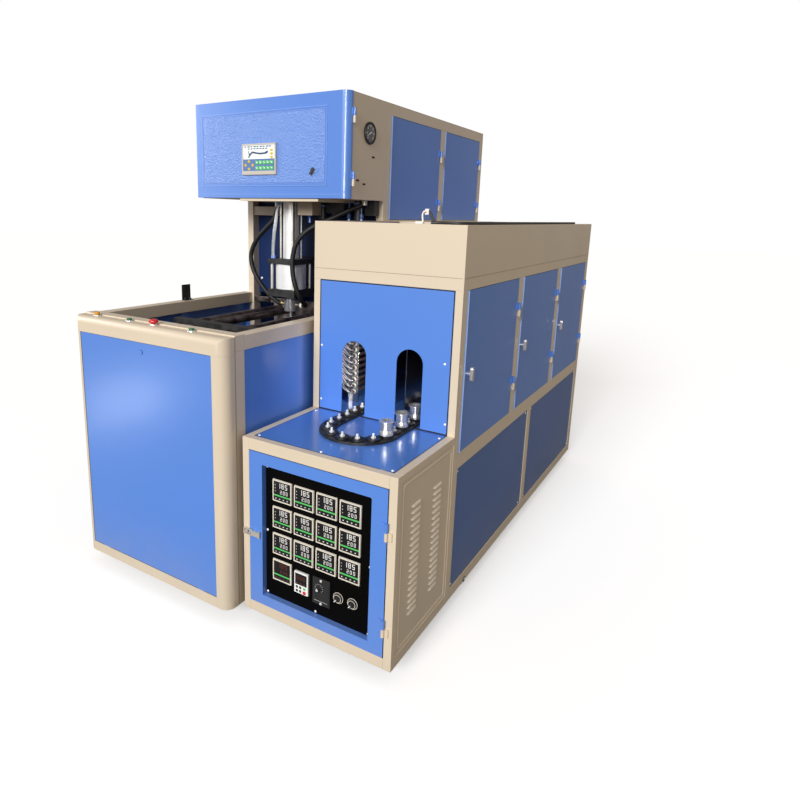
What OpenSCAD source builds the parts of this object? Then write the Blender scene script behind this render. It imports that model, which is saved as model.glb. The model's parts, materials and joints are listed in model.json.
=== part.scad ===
/* [Set] */
// Height of the undersides of both bodies above the floor
base_z = 66; // [50:1:100]
// Thickness of the sheet panels
sheet = 3; // [2:0.5:4]
// Clear gap round every door and lift-off panel
door_gap = 2; // [1:0.5:4]
// Radial clearance of turning and sliding fits
run_fit = 0.05; // [0.02:0.01:0.1]

/* [Heater body] */
// Width of the preform heater
heater_w = 700; // [640:10:800]
// Depth of the low front box
box_d = 483; // [460:1:540]
// Overall depth of the heater
heater_d = 2695; // [2650:5:2900]
// Top of the low front box above the floor
table_z = 826; // [810:2:860]
// Underside of the hood above the floor
hood_z = 1417; // [1400:1:1450]
// Top of the hood above the floor
hood_top = 1666; // [1600:2:1672]
// Face width of the heater posts
post_w = 33; // [28:1:45]
// Height of the bottom rails
rail_h = 45; // [35:1:60]
// Top of the lower side panels above the floor
low_top = 672; // [640:2:700]
// Underside of the oven doors above the floor
door_z = 742; // [730:1:760]
// Width of the strips between the oven doors
mullion = 69.5; // [60:0.5:80]
// Depth of the rear posts
rear_post = 64; // [50:1:80]
// Thickness of the oven doors
door_t = 20; // [14:1:26]
// Height of the cleared deck inside the hood
deck_t = 4; // [3:0.5:6]

/* [Oven front] */
// Width of each arch
arch_w = 121; // [110:1:130]
// Top of the arches above the floor
arch_top = 1160; // [1100:2:1200]
// Distance from the middle line to each arch centre
arch_off = 134.5; // [130:0.5:140]
// Spacing of the chain rollers
chain_pitch = 63.5; // [60:0.5:70]
// Radius of each black chain disc
disc_r = 29; // [24:0.5:30]
// Outside radius of the preform cups
cup_r = 31; // [26:0.5:31]
// Height of the preform cups
cup_h = 62; // [50:1:70]
// Radius of the heating lamps
lamp_r = 6; // [5:0.5:8]
// Vertical spacing of the heating lamps
lamp_step = 29; // [24:1:32]

/* [Control door] */
// Left edge of the recess in the control door
rec_x = 100; // [90:1:110]
// Width of the recess
rec_w = 500; // [490:1:505]
// Bottom of the recess above the floor
rec_z = 157; // [150:1:165]
// Height of the recess
rec_h = 571; // [560:1:580]
// Depth of the recess
rec_d = 24; // [18:1:26]
// Side length of the temperature controllers
ctrl_w = 94; // [90:0.5:98]
// Spacing of the controller columns
ctrl_px = 105; // [102:0.5:108]
// Spacing of the controller rows
ctrl_pz = 115; // [112:0.5:118]
// Radius of the speed knob
knob_r = 13; // [10:0.5:16]

/* [Blower body] */
// Width of the open mould tub
tub_w = 922; // [900:2:940]
// Gap between the tub and the heater
tub_gap = 23; // [20:1:40]
// Distance of the tub front ahead of the heater front
tub_front = 76; // [60:1:100]
// Top of the tub rim above the floor
rim_z = 1225; // [1200:1:1240]
// Width of the head box
head_w = 954; // [940:2:970]
// Gap between the head and the heater side line
head_gap = 0; // [0:1:20]
// Front face of the head door behind the heater front
head_y = 731; // [715:1:750]
// Height of the head box
head_h = 478; // [440:1:500]
// Top of the head box and cabinet above the floor
top_z = 2244; // [2220:2:2280]
// Front face of the cabinet posts behind the heater front
post_y = 1083; // [1070:1:1100]
// Back of the cabinet behind the heater front
blow_back = 2431; // [2400:1:2500]
// Middle of the post between the cabinet doors
cab_split = 1781; // [1700:1:1860]
// Face width of that post
cab_strip = 62; // [50:1:80]
// Width of the cabinet
cab_w = 911; // [890:1:920]
// Face width of the cabinet posts
cab_post = 40; // [34:1:46]
// Thickness of the big head door
head_door_t = 40; // [34:1:44]

/* [Blowing gear] */
// Blowing axis behind the heater front
axis_y = 944; // [935:1:950]
// Outside radius of the stretch cylinder barrel
barrel_r = 43; // [40:0.5:46]
// Outside radius of the sealing cylinder barrel
seal_r = 81.5; // [76:0.5:83]
// Side length of the black cylinder plates
plate_w = 178; // [172:1:190]
// Length of the sealing cylinder barrel
seal_len = 135; // [130:1:160]
// Width of the mould platens
platen_w = 512; // [500:2:520]
// Radius of the stretch rod
rod_r = 8; // [6:0.5:10]
// Outside radius of the blow nozzle
nozzle_r = 37; // [32:0.5:42]
// Radius of the upper tie bars
bar_r = 20; // [16:0.5:24]
// Travel of the moving platen
platen_travel = 395; // [300:5:400]
// Travel of the stretch rod
rod_travel = 485; // [300:5:485]
// Travel of the blow nozzle
nozzle_travel = 50; // [30:1:55]
// Radius of the clamp rod
clamp_r = 20; // [16:0.5:24]
// Radius of the thick air hoses
hose_r = 12.5; // [10:0.5:15]

/* [Casters] */
// Radius of the caster wheels
wheel_r = 25; // [22:0.5:26]
// Width of the caster wheels
wheel_w = 20; // [16:1:24]
// Radius of the caster axles
axle_r = 4; // [3:0.5:5]
// Trail of the swivelling casters
trail = 22; // [16:1:28]

/* [Hidden] */
$fn = 40;
handle_out = 27;
lock_out = 2;
weld = 0.2;
tub_x1 = -tub_gap;
tub_x0 = tub_x1 - tub_w;
head_x1 = -head_gap;
head_x0 = head_x1 - head_w;
cab_x1 = head_x1;
cab_x0 = cab_x1 - cab_w;
strip_y0 = cab_split - cab_strip / 2;
strip_y1 = cab_split + cab_strip / 2;
cab_front = post_y + 62;
cab_rear = blow_back - 55;
axis_x = (tub_x0 + tub_x1) / 2;
x_min = head_x0 - 2;
x_max = heater_w + handle_out;
y_min = -tub_front - lock_out;
mid_x = (x_min + x_max) / 2;
mid_y = (y_min + heater_d) / 2;
tub_rail = 60;
low_z = base_z + 52;
door_x1 = heater_w - post_w - 3;
door_y1 = box_d + 53;
door_w = (heater_d - rear_post - door_y1 - 2 * mullion) / 3;
door_step = door_w + mullion;
low_mid = door_y1 + 0.489 * (heater_d - rear_post - door_y1);
lamp_y0 = door_y1 + 128;
lamp_y1 = heater_d - 135;
lamp_mid = (lamp_y0 + lamp_y1) / 2;
head_z = top_z - head_h;
edge_c = 9;
lamp_z = 880;
chain_y = 329;
chain_x = heater_w / 2;
screen_off = arch_off - 70.5;
chain_start = 10;
plate_lo = rim_z + 28;
plate_lo_t = 40;
plate_mid = plate_lo + plate_lo_t + seal_len;
plate_mid_t = 28;
fit_z = plate_lo - 48;
px0 = axis_x - platen_w / 2;
px1 = axis_x + platen_w / 2;
platen_y = 330;
end_y = 110;
rear_y = 1112;
bar_z = rim_z - 79;
low_bar_z = 430;
clamp_z = 220;
clamp_end = 1320;

module place() {
  translate([-mid_x, -mid_y, 0])
    children();
}

module block(x0, x1, y0, y1, z0, z1) {
  translate([x0, y0, z0])
    cube([x1 - x0, y1 - y0, z1 - z0]);
}

// Square bars whose two ends stop a weld line short of what they meet
module beam_x(x0, x1, y0, y1, z0, z1) {
  block(x0 + weld, x1 - weld, y0, y1, z0, z1);
}

module beam_y(x0, x1, y0, y1, z0, z1) {
  block(x0, x1, y0 + weld, y1 - weld, z0, z1);
}

module post_z(x0, x1, y0, y1, z0, z1) {
  block(x0, x1, y0, y1, z0 + weld, z1 - weld);
}

module bar_along_x(x0, x1, y, z, r) {
  translate([x0, y, z])
    rotate([0, 90, 0])
      cylinder(h = x1 - x0, r = r);
}

module bar_along_y(x, y0, y1, z, r) {
  translate([x, y0, z])
    rotate([-90, 0, 0])
      cylinder(h = y1 - y0, r = r);
}

module bar_along_z(x, y, z0, z1, r) {
  translate([x, y, z0])
    cylinder(h = z1 - z0, r = r);
}

// Flat oval lying in the XZ plane, growing towards -Y
module oval_y(x, y0, y1, z, w, h) {
  bar_along_y(x, y0, y1, z + (h - w) / 2, w / 2);
  bar_along_y(x, y0, y1, z - (h - w) / 2, w / 2);
  block(x - w / 2, x + w / 2, y0, y1, z - (h - w) / 2, z + (h - w) / 2);
}

// Flat oval lying in the YZ plane
module oval_x(x0, x1, y, z, w, h) {
  bar_along_x(x0, x1, y, z + (h - w) / 2, w / 2);
  bar_along_x(x0, x1, y, z - (h - w) / 2, w / 2);
  block(x0, x1, y - w / 2, y + w / 2, z - (h - w) / 2, z + (h - w) / 2);
}

// Round cord through a list of points
function unit(v) = v / norm(v);
function dir_at(p, i) = unit(p[min(i + 1, len(p) - 1)] - p[max(i - 1, 0)]);
function ring(p, i, r, n) = let(t = dir_at(p, i), s = abs(t[1]) < 0.9 ? [0, 1, 0] : [1, 0, 0],
  u = unit(cross(s, t)), w = cross(t, u)) [for (k = [0:n - 1])
  p[i] + r * cos(360 * k / n) * u + r * sin(360 * k / n) * w];
module cord(p, r, n) {
  m = len(p);
  pts = [for (i = [0:m - 1]) each ring(p, i, r, n)];
  sides = [for (i = [0:m - 2], k = [0:n - 1])
    [i * n + k, i * n + (k + 1) % n, (i + 1) * n + (k + 1) % n, (i + 1) * n + k]];
  start = [[for (k = [0:n - 1]) n - 1 - k]];
  finish = [[for (k = [0:n - 1]) (m - 1) * n + k]];
  polyhedron(points = pts, faces = [for (f = concat(sides, start, finish))
    [for (k = [len(f) - 1:-1:0]) f[k]]]);
}

// Lower, fixed half of a lift-off hinge with its pin
module hinge_low(x, y, z) {
  bar_along_z(x, y, z, z + 32, 7);
  bar_along_z(x, y, z + 31, z + 58, 4);
}

// Upper, turning half of a lift-off hinge with its bore
module hinge_up(x, y, z) {
  difference() {
    union() {
      bar_along_z(x, y, z + 32.3, z + 66, 7);
      children();
    }
    bar_along_z(x, y, z + 30, z + 60, 4 + run_fit);
  }
}

module blower_frame() {
  t = tub_rail;
  p = cab_post;
  color([0.90, 0.85, 0.72])
    place() {
      for (x = [tub_x0, tub_x1 - t]) {
        post_z(x, x + t, -10, 45, base_z, rim_z - t);
        beam_y(x, x + t, 45, post_y, base_z, base_z + t);
        beam_y(x, x + t, 45, post_y, rim_z - t, rim_z);
      }
      block(tub_x0, tub_x1, -10, 45, rim_z - t, rim_z + 5);
      beam_x(tub_x0 + t, tub_x1 - t, -10, 45, base_z, base_z + t);
      beam_x(tub_x0 + t, tub_x1 - t, 200, 260, base_z, base_z + 40);
      // Cabinet posts and rails
      for (x = [cab_x0, cab_x1 - p]) {
        block(x, x + p, post_y, cab_front, base_z, top_z - 3.2);
        block(x, x + p, cab_rear, blow_back, base_z, top_z - 3.2);
        beam_y(x, x + p, cab_front, cab_rear, base_z, base_z + t);
        beam_y(x, x + p, cab_front, cab_rear, top_z - 57, top_z - 3.2);
        post_z(x, x + p, strip_y0, strip_y1, base_z + t, top_z - 57);
      }
      for (y = [[cab_front, strip_y0], [strip_y1, cab_rear]])
        beam_y(cab_x1 - p, cab_x1, y[0], y[1], hood_top - 36, hood_top + 6);
      for (z = [[base_z, base_z + t], [top_z - 57, top_z - 3.2]])
        beam_x(cab_x0 + p, cab_x1 - p, cab_rear, blow_back, z[0], z[1]);
      beam_x(cab_x0 + p, cab_x1 - p, post_y, post_y + 27, base_z, base_z + t);
      // Bracket beam from the left post under the head
      beam_x(cab_x0 + p, cab_x0 + 221, post_y + 7, post_y + 47, head_z - 86, head_z - 36);
      // Box under the head beside the cylinder
      block(axis_x + 92, axis_x + 184, axis_y - 64, axis_y + 16, head_z - 80, head_z - 13);
    }
}

module cover_plan() {
  r = 46;
  y0 = -tub_front;
  translate([tub_x0 + r, y0 + r])
    circle(r = r);
  translate([tub_x1 - r, y0 + r])
    circle(r = r);
  translate([tub_x0 + r, y0])
    square([tub_w - 2 * r, r]);
  translate([tub_x0, y0 + r])
    square([tub_w, tub_front - r - 10]);
}

module cover_roll() {
  r = 30;
  y0 = -tub_front;
  translate([y0 + r, rim_z - r])
    circle(r = r);
  translate([y0 + r, rim_z - r])
    square([tub_front - r - 10, r]);
  translate([y0, base_z])
    square([tub_front - 10, rim_z - base_z - r]);
}

module cover_body() {
  intersection() {
    translate([0, 0, base_z])
      linear_extrude(rim_z - base_z)
        cover_plan();
    translate([tub_x0, 0, 0])
      rotate([90, 0, 90])
        linear_extrude(tub_w)
          cover_roll();
  }
}

module tub_cover() {
  color([0.90, 0.85, 0.72])
    place() {
      for (s = [[tub_x0 - 1, tub_x0 + 45, base_z - 1, rim_z - 71 - weld],
                [tub_x1 - 65, tub_x1 + 1, base_z - 1, rim_z - 71 - weld],
                [tub_x0 + 45 + weld, tub_x1 - 65 - weld, base_z - 1, base_z + 47],
                [tub_x0 - 1, tub_x1 + 1, rim_z - 71, rim_z + 1]])
        intersection() {
          cover_body();
          block(s[0], s[1], -tub_front - 1, 0, s[2], s[3]);
        }
      // Rings round the four buttons
      for (b = [[-836, 13, 11.3], [-617, 13, 11.3], [-462, 15, 9.3], [-238, 13, 11.3]])
        difference() {
          bar_along_z(b[0], -27, rim_z + weld, rim_z + 5, b[1]);
          bar_along_z(b[0], -27, rim_z - 1, rim_z + 6, b[2]);
        }
    }
}

module front_panel() {
  g = door_gap;
  y = 2 - tub_front;
  color([0.30, 0.50, 0.86])
    place() {
      difference() {
        block(tub_x0 + 45 + g, tub_x1 - 65 - g, y, y + 12, base_z + 47 + g, rim_z - 71 - g);
        block(tub_x0 + 48 + g, tub_x1 - 68 - g, y + 3, y + 13, base_z + 50 + g, rim_z - 74 - g);
      }
      for (x = [tub_x0 + 120, tub_x1 - 180])
        block(x, x + 40, y, y + 8, base_z + 47, base_z + 48 + g);
      // Quarter-turn lock near the top
      bar_along_y(-490, y_min, y - weld, 1112, 8);
      bar_along_y(-508, y_min, y - weld, 1112, 8);
      block(-508, -490, y_min, y - weld, 1104, 1120);
    }
}

module blower_panels() {
  color([0.16, 0.30, 0.68])
    place() {
      // Tub sides and their inner stiffeners
      for (x = [tub_x0 + 3, tub_x1 - 3 - sheet]) {
        block(x, x + sheet, 45, post_y, base_z + 60, rim_z - 60);
      }
      for (x = [tub_x0 + 6 + weld, tub_x1 - 40])
        post_z(x, x + 34 - weld, 540, 590, base_z + 60, rim_z - 60);
      // Strip that closes the corner beside the left cabinet post
      post_z(tub_x0 + 6 + weld, cab_x0 + 8, post_y - sheet, post_y - weld, base_z + 60, rim_z - 60);
      // Tub floor
      block(tub_x0 + tub_rail, tub_x1 - tub_rail, 45, post_y, base_z + 60 - sheet, base_z + 60);
      // Dark wall behind the blowing space
      block(cab_x0 + cab_post, cab_x1 - cab_post, post_y + 50, post_y + 50 + sheet, rim_z, head_z - 86);
      block(cab_x0 + cab_post, cab_x1 - cab_post, post_y + 50, post_y + 50 + sheet, head_z - 36, head_z);
      // Cabinet outside panels
      for (y = [[cab_front, strip_y0], [strip_y1, cab_rear]]) {
        block(cab_x0 + 3, cab_x0 + 3 + sheet, y[0], y[1], base_z + 60, top_z - 57);
        block(cab_x1 - 3 - sheet, cab_x1 - 3, y[0], y[1], base_z + 60, hood_top - 36);
      }
      block(cab_x0 + cab_post, cab_x1 - cab_post, blow_back - 6, blow_back - 6 + sheet,
        base_z + 60, top_z - 57);
    }
}

module blower_shell() {
  y0 = head_y + head_door_t;
  w = weld;
  color([0.90, 0.85, 0.72])
    place() {
      // Head side with its three small slots
      difference() {
        block(head_x1 - sheet, head_x1, y0, post_y - w, head_z, top_z - sheet - w);
        oval_x(head_x1 - 5, head_x1 + 1, post_y - 115, head_z + 202, 8, 22);
        oval_x(head_x1 - 5, head_x1 + 1, head_y + 96, head_z + 86, 8, 22);
        oval_x(head_x1 - 5, head_x1 + 1, head_y + 155, head_z + 71, 8, 22);
      }
      block(head_x0, head_x0 + sheet, y0, post_y, head_z, top_z - sheet - w);
      block(head_x0, head_x1, y0, blow_back, top_z - sheet, top_z);
      // Floor round the stretch cylinder
      for (y = [[y0, axis_y - 90 - w], [axis_y + 90 + w, post_y - w]])
        beam_x(head_x0 + sheet, head_x1 - sheet, y[0], y[1], head_z, head_z + sheet);
      beam_x(head_x0 + sheet, axis_x - 90, axis_y - 90, axis_y + 90, head_z, head_z + sheet);
      beam_x(axis_x + 90, head_x1 - sheet, axis_y - 90, axis_y + 90, head_z, head_z + sheet);
      // Inner frame of the head opening
      for (x = [head_x0 + sheet + w, head_x1 - 40])
        post_z(x, x + 37 - w, y0, head_y + 75, head_z + sheet, top_z - sheet);
      // Thin plate that carries the cylinder
      difference() {
        block(axis_x - 178, axis_x + 318, head_y + 9, post_y - w, head_z - 13, head_z - w);
        bar_along_z(axis_x, axis_y, head_z - 20, head_z + 10, barrel_r + 0.3);
      }
    }
}

module head_door() {
  x1 = head_x1 + 3;
  t = head_door_t;
  r = head_door_t;
  y = head_y - 2;
  color([0.33, 0.53, 0.88])
    place() {
      difference() {
        block(x_min, x1 - r, head_y, head_y + t - 0.5, head_z + 2, top_z);
        block(x_min + 3, x1 - r - 3, head_y + 6, head_y + t, head_z + 20, top_z - 20);
      }
      intersection() {
        bar_along_z(x1 - r, head_y + t, head_z + 2, top_z, r);
        block(x1 - r, x1, head_y, head_y + t - 0.5, head_z + 2, top_z);
      }
      // Pressed field with its groove
      difference() {
        block(head_x0 + 38, head_x1 - 111, y, head_y, head_z + 59, top_z - 57);
        block(head_x0 + 48, head_x1 - 121, y - 1, y + 1, head_z + 69, top_z - 67);
      }
      block(head_x0 + 54, head_x1 - 127, y, y + 1.5, head_z + 75, top_z - 73);
      for (z = [head_z + 58, top_z - 139])
        hinge_up(head_x1 + 10.5, head_y + t + 1, z)
          block(x1 - 20, head_x1 + 6, head_y + t - 9, head_y + t - 2, z + 33, z + 66);
    }
}

module head_screen() {
  color([0.62, 0.63, 0.62])
    place() {
      block(head_x0 + 326, head_x0 + 547, head_y - 12, head_y - 2, head_z + 114, head_z + 266);
    }
}

module head_lock() {
  color([0.06, 0.06, 0.06])
    place() {
      oval_y(head_x1 - 188, head_y - 16, head_y - 8, head_z + 128, 14, 40);
      bar_along_y(head_x1 - 188, head_y - 8, head_y - 2.2, head_z + 128, 11);
    }
}

module cab_door(y0, y1) {
  g = door_gap;
  x = cab_x1;
  color([0.27, 0.46, 0.82])
    place() {
      edged_door(x, y0 + g, y1 - g, hood_top + 6 + g, top_z - 57 - g);
      for (z = [hood_top + 60, top_z - 240])
        hinge_up(x + 8, y1 + 2, z)
          block(x, x + 5, y1 - 22, y1 + 1, z + 33, z + 66);
    }
}

// Door leaf with a slanted front edge
module edged_door(x, y0, y1, z0, z1) {
  translate([0, 0, z0])
    linear_extrude(z1 - z0)
      polygon([[x - door_t, y0], [x - edge_c, y0], [x, y0 + edge_c], [x, y1], [x - door_t, y1]]);
}

module cab_door_front() {
  cab_door(cab_front, strip_y0);
}

module cab_door_rear() {
  cab_door(strip_y1, cab_rear);
}

module button(x, r, neck, h, colour) {
  color(colour)
    place() {
      bar_along_z(x, -27, rim_z + 4.3, rim_z + 10, neck);
      bar_along_z(x, -27, rim_z + 9.5, rim_z + h, r);
    }
}

module e_stop() {
  button(-462, 20, 9.2, 26, [0.85, 0.06, 0.09]);
}

module amber_button() {
  button(-836, 12.5, 11.2, 18, [0.85, 0.50, 0.06]);
}

module green_button_left() {
  button(-617, 12.5, 11.2, 13, [0.16, 0.42, 0.24]);
}

module green_button_right() {
  button(-238, 12.5, 11.2, 13, [0.16, 0.42, 0.24]);
}

// Plate with four bores on the tie bars
module bored_plate(y0, y1, z0, z1, c) {
  difference() {
    block(px0, px1, y0, y1, z0, z1);
    for (s = [-1, 1]) {
      for (d = [206, 116])
        bar_along_y(axis_x + s * d, y0 - 1, y1 + 1, bar_z, bar_r + c);
      bar_along_y(axis_x + s * 206, y0 - 1, y1 + 1, low_bar_z, bar_r + c);
    }
  }
}

module clamp_frame() {
  color([0.14, 0.14, 0.15])
    place() {
      block(px0, px1, end_y, end_y + 40, 326 + weld, bar_z + 40);
      block(px0, px1, rear_y, rear_y + 50, 326 + weld, bar_z + 40);
      for (s = [-1, 1]) {
        for (d = [206, 116])
          bar_along_y(axis_x + s * d, end_y + 40 + weld, rear_y - weld, bar_z, bar_r);
        bar_along_y(axis_x + s * 206, end_y + 40 + weld, rear_y - weld, low_bar_z, bar_r);
      }
      // Bed beams under both plates
      for (x = [px0, px1 - 70])
        block(x, x + 70, 0, post_y + 27, base_z + 60 + weld, 326);
      // Clamp cylinder with its blind bore
      difference() {
        block(axis_x - 62, axis_x + 62, 800, clamp_end, clamp_z - 62, clamp_z + 62);
        bar_along_y(axis_x, 799, clamp_end - 30, clamp_z, clamp_r + run_fit);
      }
      post_z(axis_x - 40, axis_x + 40, post_y - 20, post_y + 20, base_z + 60, clamp_z - 62);
      // Stop bar behind the rim with its shelf
      block(cab_x0 + cab_post + weld, px0 - 20, post_y, post_y + 24 - weld, rim_z - 49, rim_z - 27);
      block(cab_x0 + cab_post + weld, tub_x1 - 77, post_y + 24, rear_y - weld, rim_z - 53, rim_z - 23);
      // Bolt heads of the rear plate
      for (x = [px0 + 50, px1 - 52])
        bar_along_y(x, rear_y - 14, rear_y - weld, bar_z - 61, 18);
    }
}

module moving_platen() {
  color([0.12, 0.12, 0.13])
    place() {
      bored_plate(platen_y, platen_y + 45, 332, bar_z + 36, run_fit);
      block(axis_x - 45, axis_x + 45, platen_y + 5, platen_y + 40, clamp_z - 40, 332 - weld);
      bar_along_y(axis_x, platen_y + 40 + weld, clamp_end - 85 - platen_travel, clamp_z, clamp_r);
    }
}

module tube_z(z0, z1, r_out, r_in) {
  difference() {
    bar_along_z(axis_x, axis_y, z0, z1, r_out);
    bar_along_z(axis_x, axis_y, z0 - 1, z1 + 1, r_in);
  }
}

module air_cylinders() {
  color([0.80, 0.80, 0.80])
    place() {
      tube_z(plate_mid + plate_mid_t, head_z + 224, barrel_r, barrel_r - 4);
      bar_along_z(axis_x, axis_y, head_z + 224 + weld, head_z + 244, barrel_r + 6);
      tube_z(plate_lo + plate_lo_t, plate_mid, seal_r, seal_r - 5);
      for (sx = [-1, 1], sy = [-1, 1]) {
        bar_along_z(axis_x + sx * 39, axis_y + sy * 39, plate_mid + plate_mid_t, head_z - 13, 5);
        bar_along_z(axis_x + sx * 73, axis_y + sy * 73, plate_lo + plate_lo_t, plate_mid, 7);
      }
    }
}

module cylinder_plates() {
  h = plate_w / 2;
  color([0.10, 0.10, 0.10])
    place() {
      difference() {
        block(axis_x - h, axis_x + h, axis_y - h, axis_y + h, plate_mid, plate_mid + plate_mid_t);
        bar_along_z(axis_x, axis_y, plate_mid - 1, plate_mid + 60, rod_r + run_fit);
      }
      difference() {
        block(axis_x - h, axis_x + h, axis_y - h, axis_y + h, plate_lo, plate_lo + plate_lo_t);
        bar_along_z(axis_x, axis_y, plate_lo - 1, plate_lo + 60, 22 + run_fit);
      }
      // Arms that hold the plates from the rear wall
      beam_y(axis_x - 30, axis_x + 30, axis_y + h, post_y + 50, plate_mid, plate_mid + plate_mid_t);
      beam_y(axis_x - 30, axis_x + 30, axis_y + h, post_y + 50, plate_lo + 5, plate_lo + 35);
    }
}

module blow_nozzle() {
  p = plate_mid - 33;
  color([0.72, 0.72, 0.73])
    place() {
      difference() {
        union() {
          bar_along_z(axis_x, axis_y, p, p + 24, seal_r - 5 - run_fit);
          bar_along_z(axis_x, axis_y, plate_lo - 28, p + 1, 22);
          bar_along_z(axis_x, axis_y, plate_lo - 28, plate_lo - 12, 26);
          bar_along_z(axis_x, axis_y, plate_lo - 84, plate_lo - 25, nozzle_r);
          bar_along_x(axis_x - 66, axis_x + 66, axis_y, fit_z, 9);
        }
        bar_along_z(axis_x, axis_y, plate_lo - 90, p + 30, rod_r + run_fit);
      }
    }
}

module stretch_rod() {
  p = plate_mid + plate_mid_t + rod_travel + 19;
  color([0.78, 0.78, 0.79])
    place() {
      bar_along_z(axis_x, axis_y, plate_lo - 149, p + 25, rod_r);
      translate([axis_x, axis_y, plate_lo - 149])
        sphere(r = rod_r);
      bar_along_z(axis_x, axis_y, p, p + 24, barrel_r - 4 - run_fit);
    }
}

// Routes from under the head down to the nozzle; the last number is the share of that height
function drop(z0, z1, pts) = [for (p = pts) [axis_x + p[0], axis_y + p[1], z0 + p[2] * (z1 - z0)]];
head_under = head_z - 13;
hose_l = drop(fit_z, head_under - 0.3, [[-92, 0, 1], [-92, 0, 0.98], [-94, -2, 0.93], [-112, -8, 0.833],
  [-160, -14, 0.747], [-218, -14, 0.651], [-258, -14, 0.547], [-273, -14, 0.447], [-261, -14, 0.339],
  [-228, -14, 0.233], [-188, -12, 0.148], [-146, -6, 0.069], [-106, -1, 0.02], [-80, 0, 0],
  [-66.3, 0, 0]]);
hose_rt = drop(fit_z, head_z - 0.3, [[422, 56, 1], [422, 56, 0.985], [400, 46, 0.95], [332, 16, 0.895],
  [277, -24, 0.836], [212, -72, 0.77], [160, -102, 0.695], [123, -116, 0.604], [107, -122, 0.506],
  [104, -125, 0.417], [110, -125, 0.303], [124, -121, 0.203], [138, -102, 0.101], [134, -54, 0.03],
  [110, -14, 0.006], [84, 0, 0], [66.3, 0, 0]]);
tube_a = drop(plate_mid + plate_mid_t + 0.3, head_under - 0.3, [[-32, -64, 1], [-32, -64, 0.98],
  [-34, -72, 0.868], [-45, -82, 0.439], [-57, -78, 0.145], [-58, -74, 0.02], [-58, -74, 0]]);
tube_b = drop(plate_mid + plate_mid_t + 0.3, head_under - 0.3, [[-48, -52, 1], [-48, -52, 0.98],
  [-50, -60, 0.868], [-59, -78, 0.439], [-72, -70, 0.145], [-76, -64, 0.02], [-76, -64, 0]]);

module hose_left() {
  color([0.05, 0.05, 0.05])
    place()
      cord(hose_l, hose_r, 12);
}

module hose_right() {
  color([0.05, 0.05, 0.05])
    place()
      cord(hose_rt, hose_r, 12);
}

module air_tubes() {
  color([0.90, 0.90, 0.92])
    place() {
      cord(tube_a, 5, 10);
      cord(tube_b, 5, 10);
    }
}

module air_gear() {
  color([0.12, 0.13, 0.15])
    place() {
      // Filters and valves under the head
      for (x = [axis_x + 154, axis_x + 229, axis_x + 374]) {
        bar_along_z(x, 1020, head_z - 98, x > axis_x + 318 ? head_z : head_under, 20);
        bar_along_z(x, 1020, head_z - 126, head_z - 98.2, 12);
      }
      block(axis_x + 199, axis_x + 309, 985, 999.8, head_z - 66, head_under);
      block(axis_x + 404, axis_x + 464, 1035, 1075, head_z - 76, head_z);
      // Sensor bracket on the left rail
      block(tub_x0 + 20, tub_x0 + 42, 560, 620, rim_z, rim_z + 4);
      block(tub_x0 + 20, tub_x0 + 24, 560, 620, rim_z + 4.2, rim_z + 84);
      for (y = [572, 608])
        bar_along_z(tub_x0 + 33, y, rim_z + 4.2, rim_z + 12, 6);
    }
}

module pressure_gauge() {
  color([0.05, 0.05, 0.05])
    place() {
      bar_along_x(head_x1, head_x1 + 10, head_y + 194, top_z - 167, 52);
      bar_along_x(head_x1 - 40, head_x1 - sheet, head_y + 194, top_z - 167, 44);
    }
}

module heater_frame() {
  w = heater_w;
  p = post_w;
  bt = base_z + rail_h;
  color([0.90, 0.85, 0.72])
    place() {
      for (x = [0, w - p]) {
        // Front box posts and rails
        block(x, x + p, 0, p, base_z, table_z);
        beam_y(x, x + p, p, box_d, base_z, bt);
        beam_y(x, x + p, p, box_d, table_z - 30, table_z);
        // Tall body posts and rails
        block(x, x + p, box_d, door_y1, base_z, hood_z);
        block(x, x + p, heater_d - rear_post, heater_d, base_z, hood_z);
        beam_y(x, x + p, door_y1, heater_d - rear_post, base_z, low_z);
        beam_y(x, x + p, door_y1, heater_d - rear_post, low_top, door_z);
        for (k = [1, 2])
          post_z(x, x + p, door_y1 + k * door_step - mullion, door_y1 + k * door_step, door_z, hood_z);
        post_z(x, x + p, low_mid - 30, low_mid + 30, low_z, low_top);
      }
      beam_x(p, w - p, 0, p, base_z, bt);
      beam_x(p, w - p, 0, p, table_z - 48, table_z);
      for (z = [[base_z, low_z], [low_top, door_z], [hood_z - 40, hood_z]])
        beam_x(p, w - p, heater_d - 40, heater_d, z[0], z[1]);
      // Cross members above the casters
      for (y = [front_y - 30, back_y - 35])
        beam_x(p, w - p, y, y + 70, base_z, base_z + 40);
    }
}

module heater_hood() {
  w = heater_w;
  t = sheet;
  d = weld;
  bay = (heater_d - box_d) / 3;
  color([0.91, 0.86, 0.73])
    place() {
      block(0, w, box_d, box_d + t, hood_z, hood_top);
      block(0, w, heater_d - t, heater_d, hood_z, hood_top);
      beam_y(0, t, box_d + t, heater_d - t, hood_z, hood_top);
      beam_y(w - t, w, box_d + t, heater_d - t, hood_z, hood_top);
      // Folded edge round the open top and its two cross bars
      beam_x(t, w - t, box_d + t + d, box_d + 25, hood_top - t, hood_top);
      beam_x(t, w - t, heater_d - 25, heater_d - t - d, hood_top - t, hood_top);
      beam_y(t + d, 25, box_d + 25, heater_d - 25, hood_top - t, hood_top);
      beam_y(w - 25, w - t - d, box_d + 25, heater_d - 25, hood_top - t, hood_top);
      for (k = [1, 2])
        beam_x(25, w - 25, box_d + k * bay, box_d + k * bay + 30, hood_top - 30, hood_top);
    }
}

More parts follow.
